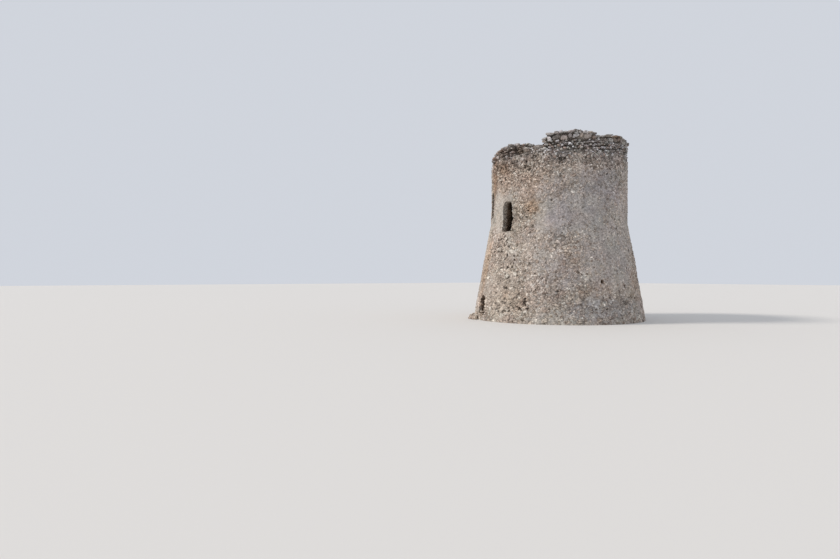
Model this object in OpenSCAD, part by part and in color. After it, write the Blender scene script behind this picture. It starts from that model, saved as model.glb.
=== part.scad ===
// Round coastal watchtower of rubble stone, roofless and ruined at its crown.
// A battered base storey holds a vaulted store, and the upright storey above it a vaulted
// chamber, which is entered by a doorway high in the wall. A parapet rings the terrace.
// The foot of the wall stands at Z = 0 and the tower's axis is X = Y = 0.
// Directions round the tower are degrees from +X, counter-clockwise, and go on past 360.
// The doorway faces -Y, at 270.

/* [Wall] */
// Radius of the battered wall at its foot
foot_r = 4360; // [4250:10:4500]
// Radius at the belly, where the batter grows steeper
belly_r = 3900; // [3850:10:3950]
// Height of the belly
belly_z = 3000; // [2600:50:3400]
// Radius of the upright wall above the waist
wall_r = 3500; // [3450:10:3550]
// Height of the waist, where the batter ends
waist_z = 4950; // [4700:50:5200]

/* [Store] */
// Radius of the round store room
store_r = 1800; // [1700:10:1850]
// Height of the store's floor
store_floor_z = 350; // [300:10:400]
// Height at which the store's vault springs
store_spring_z = 1700; // [1500:50:1800]
// Height of the store's vault at its crown
store_crown_z = 3300; // [3150:50:3400]
// Thickness of the store's vault
store_vault_t = 350; // [250:10:380]

/* [Chamber] */
// Radius of the round chamber
chamber_r = 2100; // [2000:10:2150]
// Height of the chamber's floor
chamber_floor_z = 4300; // [4200:10:4350]
// Thickness of the chamber's paving
chamber_paving_t = 150; // [100:10:200]
// Height at which the chamber's vault springs
chamber_spring_z = 6000; // [5950:10:6050]
// Height of the chamber's vault at its crown
chamber_crown_z = 7480; // [7400:10:7500]
// Thickness of the chamber's vault
chamber_vault_t = 300; // [220:10:320]

/* [Crown] */
// Height of the terrace's paving
terrace_z = 7950; // [7900:10:8000]
// Thickness of the terrace's paving
terrace_paving_t = 120; // [80:10:130]
// Thickness of the parapet
parapet_t = 600; // [450:10:700]
// Height of the bed under the parapet's top stones
parapet_course_z = 8200; // [8150:10:8250]
// Height of the bed under the crest
crest_bed_z = 8500; // [8480:10:8550]
// Height of the bed under the crest's top stones
crest_course_z = 8800; // [8750:10:8850]
// Most that a top stone stands over or under its neighbours' line
ragged_h = 75; // [0:5:100]
// Most that a top stone stands back from the face of the wall
ragged_back = 70; // [0:5:100]

/* [Doorway] */
// Width of the doorway
doorway_w = 660; // [600:10:720]
// Height of the doorway's sill
doorway_sill_z = 4440; // [4380:10:4480]
// Height of the doorway's round head
doorway_head_z = 5930; // [5850:10:5940]
// Depth of the arch stones over the doorway and the window, from the opening outwards
arch_t = 150; // [120:10:180]

/* [Window] */
// Direction of the window
window_at = 241; // [238:1:243]
// Width of the window
window_w = 700; // [600:10:740]
// Height of the window's sill
window_sill_z = 5260; // [5200:10:5300]
// Height of the window's round head
window_head_z = 6620; // [6560:10:6640]
// Thickness of the window's sill stone
window_sill_t = 100; // [80:10:120]

/* [Breach] */
// Direction of the hole broken through the base storey
breach_at = 250.5; // [248:0.5:253]
// Width of the broken passage at its floor
breach_w = 860; // [700:10:900]
// Height of the broken passage
breach_h = 900; // [800:10:1000]

/* [Wear] */
// Depth of the pits where scaffold poles were let into the wall
pole_pit_d = 140; // [60:10:200]

/* [Hidden] */
$fn = 240;

// Colours of the masonry
warm_stone = [0.69, 0.61, 0.55];
grey_stone = [0.60, 0.56, 0.53];
dark_stone = [0.47, 0.44, 0.42];
mortar = [0.72, 0.67, 0.61];

// Wall segments of a storey: each spans this many degrees
segment = 45;
// Direction of the doorway
doorway_at = 270;
// Directions of the middles of the base and chamber segments, and of the parapet's left end
base_mid = 255;
chamber_mid = 277.5;
parapet_from = 180;

// Stones of the ragged courses: each spans this many degrees
stone = 4.5;
// Directions between which the crest still stands
crest_from = 301.5;
crest_to = 481.5;
// Least height that a stone needs over its bed
least_stone = 50;
// Step between the heights of top stones
height_step = 15;
// How far a stone laps over the next one, in degrees, and into its bed
stone_lap = 0.2;
bed_lap = 10;
// Line of the ruined crown: direction round the tower and height
crown_line = [
    [180, 8440], [232, 8440], [247, 8480], [257, 8680], [284, 8720], [293, 8590],
    [301, 8560], [304, 8760], [308, 8990], [313, 9060], [341, 9070], [345, 8930],
    [350, 8920], [368, 9030], [400, 9140], [440, 9100], [463, 9020], [478, 8800],
    [482, 8580], [500, 8520], [520, 8400], [540, 8440]
];
// Hollows worn in the wall's face: direction, height of the middle, depth and radius of the curve
worn_hollows = [
    [265, 3500, 60, 4500], [269, 2700, 45, 3500], [258.5, 2950, 40, 3000],
    [288, 1200, 55, 5000], [283.5, 800, 40, 3500], [44, 2700, 50, 5000],
    [80, 3200, 55, 5000], [74, 2450, 45, 3500], [86, 2500, 40, 3000],
    [118, 2100, 60, 5000], [112, 1450, 45, 3500], [160, 1250, 55, 4500],
    [167, 1700, 40, 3000], [206, 3300, 45, 5000], [274, 7100, 55, 4500],
    [267, 7300, 40, 2500]
];
// Pits where scaffold poles were let into the wall: direction, height of the middle and width
pole_pits = [
    [343.2, 1970, 150], [363, 1750, 130], [369, 1270, 110], [35, 1850, 130],
    [82, 1950, 140], [128, 1800, 130], [176, 1900, 140], [214, 1850, 130]
];
// Hollow broken out of the parapet's face: direction, width, depth and floor
hollow_at = 280.5;
hollow_w = 600;
hollow_d = 220;
hollow_z = 8130;

// Arch stones: how many, and the width and depth of the open joints between them
arch_stones = 9;
joint_w = 14;
joint_d = 60;
// How far sill and arch stones reach into the wall beside the opening
sill_bearing = 90;

// A cut reaches this far past the faces that it passes through
past = 500;
// Room between a vault's back and the wall, for the fill
haunch_gap = 40;

// Radius of the sphere of a vault, from its half span and rise
function vault_r(half_span, rise) = (half_span * half_span + rise * rise) / (2 * rise);
// Radius at which the back of a vault meets the level of its springing
function seat_r(r, t, over_centre) = sqrt(pow(r + t, 2) - pow(over_centre, 2));

store_vault_r = vault_r(store_r, store_crown_z - store_spring_z);
store_vault_z = store_crown_z - store_vault_r;
store_seat_r = seat_r(store_vault_r, store_vault_t, store_spring_z - store_vault_z) + haunch_gap;
store_fill_top = chamber_floor_z - chamber_paving_t;

chamber_vault_r = vault_r(chamber_r, chamber_crown_z - chamber_spring_z);
chamber_vault_z = chamber_crown_z - chamber_vault_r;
chamber_seat_r = seat_r(chamber_vault_r, chamber_vault_t, chamber_spring_z - chamber_vault_z)
    + haunch_gap;
chamber_wall_top = terrace_z - terrace_paving_t;

// The doorway's sill stone is bedded at the level of the chamber's floor
doorway_sill_t = doorway_sill_z - chamber_floor_z;

parapet_r = wall_r - parapet_t;

// Radius of the wall's outer face at height z
function face_r(z) =
    z < belly_z ? foot_r + (belly_r - foot_r) * z / belly_z
    : z < waist_z ? belly_r + (wall_r - belly_r) * (z - belly_z) / (waist_z - belly_z)
    : wall_r;

// Angle of the wall's outer face from upright at height z
function batter(z) =
    z < belly_z ? atan((foot_r - belly_r) / belly_z)
    : z < waist_z ? atan((belly_r - wall_r) / (waist_z - belly_z))
    : 0;
// Whether direction a lies in the segment whose middle is in direction mid
function in_segment(a, mid) = abs((a - mid + 900) % 360 - 180) < segment / 2;

// Chance numbers are drawn apart for heights and for setbacks of the inner and outer face
height_draw = 100000;
inner_draw = 200000;
outer_draw = 300000;
// A steady chance number from 0 to 1 for the stone that starts at direction a
function chance(a, draw) = rands(0, 1, 1, round(a * 10) + draw)[0];
// Height of the top of the stone that starts at direction a, in whole steps
function stone_top(a) =
    height_step
    * round((lookup(a + stone / 2, crown_line) + ragged_h * (2 * chance(a, height_draw) - 1))
        / height_step);
// Shares of the greatest setback: what every stone has, what every second one adds, and chance
setback_all = 0.1;
setback_second = 0.5;
setback_chance = 0.35;
// Setback of the stone that starts at direction a
function setback(a, draw) =
    ragged_back
    * (setback_all + setback_second * (round(a / stone) % 2) + setback_chance * chance(a, draw));
// A stone laps the next one, apart from the last stone before direction last
function lap(a, last) = a + stone + stone_lap < last ? stone_lap : 0;
// Under the crest every stone ends at the crest's bed
function parapet_top(a) = a >= crest_from && a < crest_to ? crest_bed_z : stone_top(a);

// Outline of the broken passage, as shares of its width and height from the middle of its floor
breach_shares = [
    [-0.50, 0], [0.50, 0], [0.40, 0.23], [0.45, 0.46], [0.26, 0.61], [0.29, 0.81],
    [0.07, 1.00], [-0.17, 0.87], [-0.22, 0.61], [-0.43, 0.39]
];
// Fallen stones: place across the passage, distance from the tower's axis, bed, size and turn
fallen_stones = [
    [-270, 3950, store_floor_z, 260, 35], [290, 3700, store_floor_z, 220, 70],
    [-250, 3450, store_floor_z, 200, 15], [-760, 4480, 0, 330, 25],
    [-430, 4500, 0, 240, 60], [-1080, 4400, 0, 260, 80]
];
// A fallen block is what two turned boxes share: their sides and the heights of their middles,
// as shares of the block's size
block_sides = [1, 0.85, 0.75];
block_lift = 0.28;
block_trim = 0.95;
block_trim_lift = 0.3;

// Part of a ring: a profile of radius and height, turned from direction a through some degrees
module turned(a, degrees)
    rotate([0, 0, a])
        rotate_extrude(angle = degrees)
            children();

// A shape drawn across and upwards, pushed outwards in direction at, from radius r0 to radius r1
module pushed_out(at, r0, r1)
    rotate([0, 0, at + 90])
        translate([0, -r0, 0])
            rotate([90, 0, 0])
                linear_extrude(r1 - r0)
                    children();

module base_profile()
    polygon([
        [store_r, 0], [foot_r, 0], [belly_r, belly_z], [face_r(chamber_floor_z), chamber_floor_z],
        [store_seat_r, chamber_floor_z], [store_seat_r, store_spring_z], [store_r, store_spring_z]
    ]);

module chamber_profile()
    polygon([
        [chamber_r, chamber_floor_z], [face_r(chamber_floor_z), chamber_floor_z],
        [wall_r, waist_z], [wall_r, chamber_wall_top], [chamber_seat_r, chamber_wall_top],
        [chamber_seat_r, chamber_spring_z], [chamber_r, chamber_spring_z]
    ]);

// Plain rectangle of radius and height
module ring_profile(r0, r1, z0, z1)
    translate([r0, z0])
        square([r1 - r0, z1 - z0]);

// Opening with straight jambs and a half-round head
module opening_outline(w, sill_z, head_z) {
    translate([-w / 2, sill_z])
        square([w, head_z - w / 2 - sill_z]);
    translate([0, head_z - w / 2])
        circle(d = w);
}

// Upper half of the disc that the arch stones fill
module arch_outline(w, head_z)
    translate([0, head_z - w / 2])
        intersection() {
            circle(r = w / 2 + arch_t);
            translate([-w, 0])
                square([2 * w, 2 * w]);
        }

module sill_outline(w, sill_z, t)
    translate([-w / 2 - sill_bearing, sill_z - t])
        square([w + 2 * sill_bearing, t]);

// What the wall leaves out for an opening with its arch and sill
module opening_cut(at, w, sill_z, head_z, sill_t)
    pushed_out(at, 0, wall_r + past)
        union() {
            opening_outline(w, sill_z, head_z);
            arch_outline(w, head_z);
            sill_outline(w, sill_z, sill_t);
        }

// Arch stones through the whole wall, with open joints on the outer face
module arch_ring(at, w, head_z) {
    spring_z = head_z - w / 2;
    difference() {
        intersection() {
            turned(at - segment / 2, segment)
                chamber_profile();
            pushed_out(at, 0, wall_r + past)
                difference() {
                    arch_outline(w, head_z);
                    translate([0, spring_z])
                        circle(d = w);
                }
        }
        pushed_out(at, wall_r - joint_d, wall_r + past)
            translate([0, spring_z])
                for (joint = [1:arch_stones - 1])
                    rotate(joint * 180 / arch_stones)
                        translate([0, -joint_w / 2])
                            square([w, joint_w]);
    }
}

// Sill stone through the whole wall
module sill_stone(at, w, sill_z, t)
    intersection() {
        turned(at - segment / 2, segment)
            chamber_profile();
        pushed_out(at, 0, wall_r + past)
            sill_outline(w, sill_z, t);
    }

module doorway_cut()
    opening_cut(doorway_at, doorway_w, doorway_sill_z, doorway_head_z, doorway_sill_t);

module window_cut()
    opening_cut(window_at, window_w, window_sill_z, window_head_z, window_sill_t);

// The window's opening alone, which also passes through the vault and the fill
module window_passage()
    pushed_out(window_at, chamber_r / 2, wall_r)
        opening_outline(window_w, window_sill_z, window_head_z);

module breach_passage()
    pushed_out(breach_at, store_r / 2, foot_r + past)
        translate([0, store_floor_z])
            polygon([for (share = breach_shares) [share.x * breach_w, share.y * breach_h]]);

// A shallow hollow, square to the battered face, with the curve of a large sphere
module worn_hollow(at, z, d, r)
    rotate([0, 0, at])
        translate([face_r(z), 0, z])
            rotate([0, -batter(z), 0])
                translate([r - d, 0, 0])
                    sphere(r);

module pole_pit(at, z, w)
    pushed_out(at, face_r(z) - pole_pit_d, foot_r + past)
        translate([-w / 2, z - w / 2])
            square(w);

// What has worn out of the face of one segment, between two heights
module worn_away(mid, z0, z1) {
    for (hollow = worn_hollows)
        if (in_segment(hollow[0], mid) && hollow[1] > z0 && hollow[1] < z1)
            worn_hollow(hollow[0], hollow[1], hollow[2], hollow[3]);
    for (pit = pole_pits)
        if (in_segment(pit[0], mid) && pit[1] > z0 && pit[1] < z1)
            pole_pit(pit[0], pit[1], pit[2]);
}

module base_wall(mid)
    color(warm_stone)
        difference() {
            turned(mid - segment / 2, segment)
                base_profile();
            worn_away(mid, 0, chamber_floor_z);
        }

module base_wall_front_left()
    color(warm_stone)
        difference() {
            base_wall(base_mid);
            breach_passage();
        }

module chamber_wall(mid)
    color(grey_stone)
        difference() {
            turned(mid - segment / 2, segment)
                chamber_profile();
            worn_away(mid, chamber_floor_z, chamber_wall_top);
        }

module chamber_wall_front()
    color(grey_stone)
        difference() {
            chamber_wall(chamber_mid);
            doorway_cut();
        }

module chamber_wall_front_left()
    color(grey_stone)
        difference() {
            chamber_wall(chamber_mid + 7 * segment);
            window_cut();
        }

// A block with a flat bed and rough, tilted faces
module rough_block(size, turn)
    intersection() {
        translate([0, 0, size * block_lift])
            rotate([turn, turn / 2, turn])
                cube(size * block_sides, center = true);
        translate([0, 0, size * block_trim_lift])
            rotate([turn / 3, -turn / 2, turn + 45])
                cube(size * block_trim, center = true);
        translate([0, 0, size])
            cube(size * 2, center = true);
    }

module breach_rubble()
    color(dark_stone)
        rotate([0, 0, breach_at + 90])
            for (block = fallen_stones)
                translate([block[0], -block[1], block[2]])
                    rough_block(block[3], block[4]);

module store_floor()
    color(dark_stone)
        cylinder(r = store_r, h = store_floor_z);

// Shell between two spheres, above the level of its springing
module vault(r, t, centre_z, spring_z)
    rotate_extrude()
        intersection() {
            translate([0, centre_z])
                difference() {
                    circle(r = r + t);
                    circle(r = r);
                }
            translate([0, spring_z])
                square([r + t, r + t]);
        }

// Loose stone and lime packed behind a vault, up to the floor above
module vault_fill(r, centre_z, spring_z, seat, top_z)
    rotate_extrude()
        difference() {
            ring_profile(0, seat, spring_z, top_z);
            translate([0, centre_z])
                circle(r = r);
        }

module store_vault()
    color(grey_stone)
        vault(store_vault_r, store_vault_t, store_vault_z, store_spring_z);

module store_vault_fill()
    color(dark_stone)
        vault_fill(store_vault_r + store_vault_t, store_vault_z, store_spring_z, store_seat_r,
            store_fill_top);

module chamber_floor()
    color(mortar)
        translate([0, 0, store_fill_top])
            cylinder(r = store_seat_r, h = chamber_paving_t);

module doorway_arch()
    color(mortar)
        arch_ring(doorway_at, doorway_w, doorway_head_z);

module doorway_sill()
    color(mortar)
        sill_stone(doorway_at, doorway_w, doorway_sill_z, doorway_sill_t);

module window_arch()
    color(mortar)
        arch_ring(window_at, window_w, window_head_z);

module window_sill()
    color(mortar)
        sill_stone(window_at, window_w, window_sill_z, window_sill_t);

module chamber_vault()
    color(grey_stone)
        difference() {
            vault(chamber_vault_r, chamber_vault_t, chamber_vault_z, chamber_spring_z);
            window_passage();
        }

module chamber_vault_fill()
    color(dark_stone)
        difference() {
            vault_fill(chamber_vault_r + chamber_vault_t, chamber_vault_z, chamber_spring_z,
                chamber_seat_r, chamber_wall_top);
            window_passage();
        }

module terrace_floor()
    color(mortar)
        translate([0, 0, chamber_wall_top])
            cylinder(r = parapet_r, h = terrace_paving_t);

// One top stone from direction a, with its own height and its own setbacks, lapping the next one
module top_stone(a, lap, bed_z, top_z)
    turned(a, stone + lap)
        ring_profile(parapet_r + setback(a, inner_draw), wall_r - setback(a, outer_draw),
            bed_z - bed_lap, top_z);

// Hollow where stones have fallen out of the parapet's face
module parapet_hollow()
    pushed_out(hollow_at, wall_r - hollow_d, wall_r + past)
        translate([-hollow_w / 2, hollow_z])
            square([hollow_w, past + hollow_d]);

module parapet(first)
    color(dark_stone)
        union() {
            turned(first, segment)
                ring_profile(parapet_r, wall_r, chamber_wall_top, parapet_course_z);
            for (i = [0:segment / stone - 1]) {
                a = first + i * stone;
                top_stone(a, lap(a, first + segment), parapet_course_z, parapet_top(a));
            }
        }

module parapet_front_right()
    color(dark_stone)
        difference() {
            parapet(parapet_from + 2 * segment);
            parapet_hollow();
        }

module crest(first, last)
    color(dark_stone)
        union() {
            turned(first, last - first)
                ring_profile(parapet_r, wall_r, crest_bed_z, crest_course_z);
            for (i = [0:(last - first) / stone - 1]) {
                a = first + i * stone;
                if (stone_top(a) > crest_course_z + least_stone)
                    top_stone(a, lap(a, last), crest_course_z, stone_top(a));
            }
        }

base_wall_front_left();
base_wall(base_mid + segment);  // base_wall_front_right
base_wall(base_mid + 2 * segment);  // base_wall_right_front
base_wall(base_mid + 3 * segment);  // base_wall_right_back
base_wall(base_mid + 4 * segment);  // base_wall_back_right
base_wall(base_mid + 5 * segment);  // base_wall_back_left
base_wall(base_mid + 6 * segment);  // base_wall_left_back
base_wall(base_mid - segment);  // base_wall_left_front
breach_rubble();
store_floor();
store_vault();
store_vault_fill();
chamber_floor();
chamber_wall_front();
chamber_wall(chamber_mid + segment);  // chamber_wall_front_right
chamber_wall(chamber_mid + 2 * segment);  // chamber_wall_right
chamber_wall(chamber_mid + 3 * segment);  // chamber_wall_back_right
chamber_wall(chamber_mid + 4 * segment);  // chamber_wall_back
chamber_wall(chamber_mid + 5 * segment);  // chamber_wall_back_left
chamber_wall(chamber_mid + 6 * segment);  // chamber_wall_left
chamber_wall_front_left();
doorway_arch();
doorway_sill();
window_arch();
window_sill();
chamber_vault();
chamber_vault_fill();
terrace_floor();
parapet(parapet_from + segment);  // parapet_front_left
parapet_front_right();
parapet(parapet_from + 3 * segment);  // parapet_right_front
parapet(parapet_from + 4 * segment);  // parapet_right_back
parapet(parapet_from + 5 * segment);  // parapet_back_right
parapet(parapet_from + 6 * segment);  // parapet_back_left
parapet(parapet_from + 7 * segment);  // parapet_left_back
parapet(parapet_from);  // parapet_left_front
crest(crest_from, 360);  // crest_front_right
crest(360, 360 + segment);  // crest_right_back
crest(360 + segment, 360 + 2 * segment);  // crest_back_right
crest(360 + 2 * segment, crest_to);  // crest_back_left
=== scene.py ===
"""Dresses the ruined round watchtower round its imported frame.

Metres, with the tower's axis on Z and the foot of its wall at z = 0. Directions round the tower
are degrees from +X, counter-clockwise, and go on past 360. The doorway faces -Y, at 270.

Each wall is a profile swept round the axis. One rubble relief, a function of the place alone,
pushes its face in and out, so neighbouring segments meet without a step. The openings are cut
through the finished walls, and the broken crown is laid from single stones.

All that looks random comes from chance(). Its first value, the draw, picks a series of numbers
of its own, so that one use of it needn't repeat another."""

import itertools
import math

import bmesh
import bpy
import numpy as np
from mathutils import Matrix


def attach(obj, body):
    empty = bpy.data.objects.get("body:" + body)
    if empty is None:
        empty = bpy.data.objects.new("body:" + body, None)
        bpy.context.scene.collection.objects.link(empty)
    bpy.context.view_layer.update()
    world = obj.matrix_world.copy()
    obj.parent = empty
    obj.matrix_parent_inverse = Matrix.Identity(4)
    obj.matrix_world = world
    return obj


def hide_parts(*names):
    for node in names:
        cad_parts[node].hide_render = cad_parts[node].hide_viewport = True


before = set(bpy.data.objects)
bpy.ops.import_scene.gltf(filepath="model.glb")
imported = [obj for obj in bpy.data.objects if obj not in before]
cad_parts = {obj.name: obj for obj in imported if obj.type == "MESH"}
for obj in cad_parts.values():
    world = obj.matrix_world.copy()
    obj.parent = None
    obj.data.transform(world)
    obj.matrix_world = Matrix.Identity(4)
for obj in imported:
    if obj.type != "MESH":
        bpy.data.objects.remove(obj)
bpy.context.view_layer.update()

# Measures of the wall
FOOT_R = 4.36
BELLY_R = 3.90
BELLY_Z = 3.00
WALL_R = 3.50
WAIST_Z = 4.95
STOREY_Z = 4.30
WALL_TOP = 7.83
# Angle of one segment of the round wall
SEGMENT = 45.0
# Radius at which the points of each storey are spaced round the tower
BASE_SPACING_R = 4.1
CHAMBER_SPACING_R = 3.55
# Depth in front of and behind the plain face within which its relief lies
FACE_DEPTH = 0.10
# How far in from the face the beds of a storey begin to lie flat
RIM = 0.15
# Share of the face's relief that the walls of the rooms have
ROOM_PUSH = 0.6

# Measures of the rooms
STORE_R = 1.80
STORE_FLOOR = 0.35
STORE_SPRING = 1.70
STORE_CROWN = 3.30
STORE_VAULT_T = 0.35
STORE_SEAT_R = 2.19
CHAMBER_R = 2.10
CHAMBER_PAVING_T = 0.15
CHAMBER_SPRING = 6.00
CHAMBER_CROWN = 7.48
CHAMBER_VAULT_T = 0.30
CHAMBER_SEAT_R = 2.456

# Measures of the crown
TERRACE_Z = 7.95
PARAPET_R = 2.90
CREST_BED = 8.50
CREST_FROM = 301.5
CREST_TO = 481.5
# The line of the ruined crown: direction and height of its highest stones
CROWN_LINE = np.array([
    (180, 8.44), (190, 8.39), (200, 8.47), (211, 8.38), (222, 8.46), (232, 8.44), (246, 8.44),
    (250, 8.49), (256, 8.60), (264, 8.71), (278, 8.79), (288, 8.68), (292, 8.58), (299, 8.49),
    (302, 8.55), (304, 8.84), (306, 9.02), (311, 9.09), (330, 9.08), (341, 9.08), (345, 8.91),
    (354, 8.97), (368, 9.04), (378, 9.06), (385, 8.95), (396, 8.95), (407, 9.12), (440, 9.10),
    (463, 9.02), (478, 8.80), (482, 8.58), (491, 8.50), (500, 8.55), (511, 8.44), (520, 8.40),
    (530, 8.47), (540, 8.44),
])
# The hollow in the parapet: direction, half width, depth and bed
HOLLOW_AT = 280.5
HOLLOW_HALF_W = 0.30
HOLLOW_D = 0.22
HOLLOW_Z = 8.13

# Openings: direction, width, sill height, head height, thickness of the sill stone, and how far
# the right shoulder of the arch has worn away
DOORWAY = {"at": 270.0, "w": 0.66, "sill": 4.44, "head": 5.93, "sill_t": 0.14, "worn": 0.035}
WINDOW = {"at": 241.0, "w": 0.70, "sill": 5.26, "head": 6.62, "sill_t": 0.10, "worn": 0.01}
ARCH_T = 0.15
SILL_BEARING = 0.09
ARCH_STONES = 9

# The breach: direction, and its ragged outline across and up
BREACH_AT = 250.5
BREACH_EDGE = np.array([
    (-0.38, 0.35), (0.43, 0.35), (0.36, 0.50), (0.42, 0.68), (0.40, 0.84), (0.30, 0.94),
    (0.32, 1.10), (0.20, 1.25), (0.03, 1.25), (-0.08, 1.08), (-0.20, 0.94), (-0.09, 0.81),
    (-0.27, 0.67), (-0.25, 0.50),
])

# Distances from the axis at which each cutter begins and ends
BREACH_CUT = (1.2, 4.8)
OPENING_CUT = (1.6, 4.1)
VAULT_CUT = (0.9, 2.9)
# How rough a cut leaves the jambs of an opening, and the breach
JAMB_ROUGH = 0.042
BREACH_ROUGH = 0.05

# Spacing of a surface's points: on the face, along a cut, on room walls, and where nothing shows
FACE_STEP = 0.030
CUT_STEP = 0.045
ROOM_STEP = 0.09
HIDDEN_STEP = 0.35


# Chance and noise

def chance(draw, *places):
    """Steady chance numbers from 0 to 1: whole-number places mixed by multiplying and shifting."""
    mixed = np.full(np.broadcast(*places).shape, 977 * (draw + 1), np.uint64)
    with np.errstate(over="ignore"):
        for place in places:
            mixed ^= np.asarray(place).astype(np.int64).astype(np.uint64)
            mixed *= np.uint64(0x9E3779B97F4A7C15)
            mixed ^= mixed >> np.uint64(29)
        mixed *= np.uint64(0xBF58476D1CE4E5B9)
        mixed ^= mixed >> np.uint64(32)
    return (mixed >> np.uint64(11)).astype(float) / 2.0**53


def ease(x):
    """Eased step: 0 below 0, 1 above 1, and 3x^2 - 2x^3 between."""
    x = np.clip(x, 0.0, 1.0)
    return x * x * (3.0 - 2.0 * x)


def drift(points, size, draw):
    """Smooth noise from -1 to 1: chance numbers on a cubic lattice, blended with eased shares."""
    places = points / size
    corner = np.floor(places)
    share = ease(places - corner)
    total = np.zeros(len(points))
    for step in itertools.product((0, 1), repeat=3):
        weight = np.prod(np.where(step, share, 1.0 - share), axis=1)
        total += weight * chance(draw, *(corner + step).T)
    return 2.0 * total - 1.0


def clouds(points, size, draw, layers=3):
    """Layers of drift, each half the size and half the strength of the one before."""
    return sum(drift(points, size / 2**k, draw + k) / 2**k for k in range(layers))


# Directions and places

def polar(points):
    """Direction in degrees from 0 to 360, and distance from the axis."""
    direction = np.degrees(np.arctan2(points[:, 1], points[:, 0])) % 360.0
    return direction, np.hypot(points[:, 0], points[:, 1])


def spot(direction, r, z):
    """Places from directions in degrees, distances from the axis and heights."""
    turn = np.radians(direction)
    return np.stack([r * np.cos(turn), r * np.sin(turn), z + 0.0 * turn], axis=-1)


def apart(direction, at):
    """Signed angle from direction at, in degrees from -180 to 180."""
    return (direction - at + 180.0) % 360.0 - 180.0


def face_r(z):
    """Radius of the plain outer face at height z: two straight batters under an upright wall."""
    return np.interp(z, [0.0, BELLY_Z, WAIST_Z], [FOOT_R, BELLY_R, WALL_R])


def batter(z):
    """Angle of the plain face from upright at height z, in radians."""
    lower = math.atan((FOOT_R - BELLY_R) / BELLY_Z)
    upper = math.atan((BELLY_R - WALL_R) / (WAIST_Z - BELLY_Z))
    return np.where(z < BELLY_Z, lower, np.where(z < WAIST_Z, upper, 0.0))


def on_face(points):
    """The points with those near the plain face drawn onto it, so that its relief can't change
    which stone a point belongs to."""
    _, r = polar(points)
    face = face_r(points[:, 2])
    off = r - face
    kept = face + np.sign(off) * np.maximum(np.abs(off) - FACE_DEPTH, 0.0)
    flat = points.copy()
    flat[:, :2] *= (kept / np.maximum(r, 1e-6))[:, None]
    return flat


# The rubble of the walls

# Sizes of the stones along, up and into the wall, and the radius at which they are counted
LARGE = (0.19, 0.13, 0.26)
SMALL = (0.105, 0.074, 0.15)
COUNTING_R = 3.7
# Share of large stones: everywhere, how much more at the foot, and how much more under the crown
LARGE_SHARE = 0.09
LARGE_AT_FOOT = 0.14
LARGE_AT_CROWN = 0.24
# Height of the foot in that sense, and the height above which the stones count as under the crown
FOOT_H = 1.3
UNDER_CROWN_Z = 7.1
# Heights from which the render goes, and from which the stones are weathered grey
BARE_FROM_Z = 7.35
WEATHERED_FROM_Z = 7.3


def cells(u, v, w, size, draw, around=None):
    """Stones as cells round jittered middles, in rows staggered by half a stone.

    u, v and w count stones along, up and in. Each middle lies by chance in the inner three
    quarters of its cell. A point belongs to the stone whose middle is nearest, less a reach of
    its own that makes some stones larger than others. Returns how much nearer, in metres, that
    one is than the next, the stone's two chance numbers and row, and the point's place on it,
    along and up. u starts again after around stones."""
    nearest = np.full(u.shape, 9.0)
    second = np.full(u.shape, 9.0)
    stone = np.zeros((len(u), 3), np.int64)
    place = np.zeros((len(u), 2))
    row0 = np.floor(v)
    deep0 = np.floor(w)
    for dv, dw in itertools.product((-1, 0, 1), repeat=2):
        row = row0 + dv
        deep = deep0 + dw
        shift = 0.5 * (row % 2)
        first = np.floor(u - shift)
        for du in (-1, 0, 1):
            cell = first + du
            home = cell % around if around else cell
            off_u = (cell + shift + 0.12 + 0.76 * chance(draw, home, row, deep) - u) * size[0]
            off_v = (row + 0.15 + 0.70 * chance(draw + 1, home, row, deep) - v) * size[1]
            off_w = (deep + 0.15 + 0.70 * chance(draw + 2, home, row, deep) - w) * size[2]
            reach = 0.42 * size[1] * chance(draw + 7, home, row, deep)
            far = np.sqrt(off_u**2 + off_v**2 + off_w**2) - reach
            closer = far < nearest
            second = np.where(closer, nearest, np.minimum(second, far))
            nearest = np.where(closer, far, nearest)
            stone[closer] = np.stack([home, row, deep], axis=1)[closer].astype(np.int64)
            place[closer] = np.stack([off_u, off_v], axis=1)[closer]
    tone = chance(draw + 3, *stone.T)
    odd = chance(draw + 4, *stone.T)
    return second - nearest, tone, odd, stone[:, 1], place


def wall_cells(points, size, draw):
    """The cells of a round wall, their joints made to wander by noise."""
    around = round(2 * math.pi * COUNTING_R / size[0])
    direction, r = polar(points)
    u = direction / 360.0 * around + 0.22 * drift(points, size[0] * 1.3, draw + 5)
    v = points[:, 2] / size[1] + 0.22 * drift(points, size[0] * 1.3, draw + 6)
    return cells(u, v, r / size[2], size, draw, around)


def masonry(points):
    """The wall's stones: small rubble with large stones here and there, more of them at the foot.

    Returns each point's distance from the joint, the stone's tone and its chance of standing
    out, the point's place on the stone, and whether the stone is small."""
    flat = on_face(points)
    gap, tone, odd, row, place = wall_cells(flat, LARGE, 100)
    small_gap, small_tone, small_odd, _, small_place = wall_cells(flat, SMALL, 200)
    height = row * LARGE[1]
    share = LARGE_SHARE + LARGE_AT_FOOT * ease(1.0 - height / FOOT_H)
    share = share + LARGE_AT_CROWN * ease((height - UNDER_CROWN_Z) / 0.7)
    small = odd > share
    gap = np.where(small, np.minimum(gap, small_gap), gap)
    tone = np.where(small, small_tone, tone)
    odd = np.where(small, small_odd, odd / share)
    place = np.where(small[:, None], small_place, place)
    return gap, tone, odd, place, small


def patch(direction, z, at, height, half_angle, half_height):
    """1 in the middle of a soft-edged patch of the face, falling to 0 outside its ellipse."""
    reach = (apart(direction, at) / half_angle) ** 2 + ((z - height) / half_height) ** 2
    return np.exp(-reach * reach)


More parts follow.
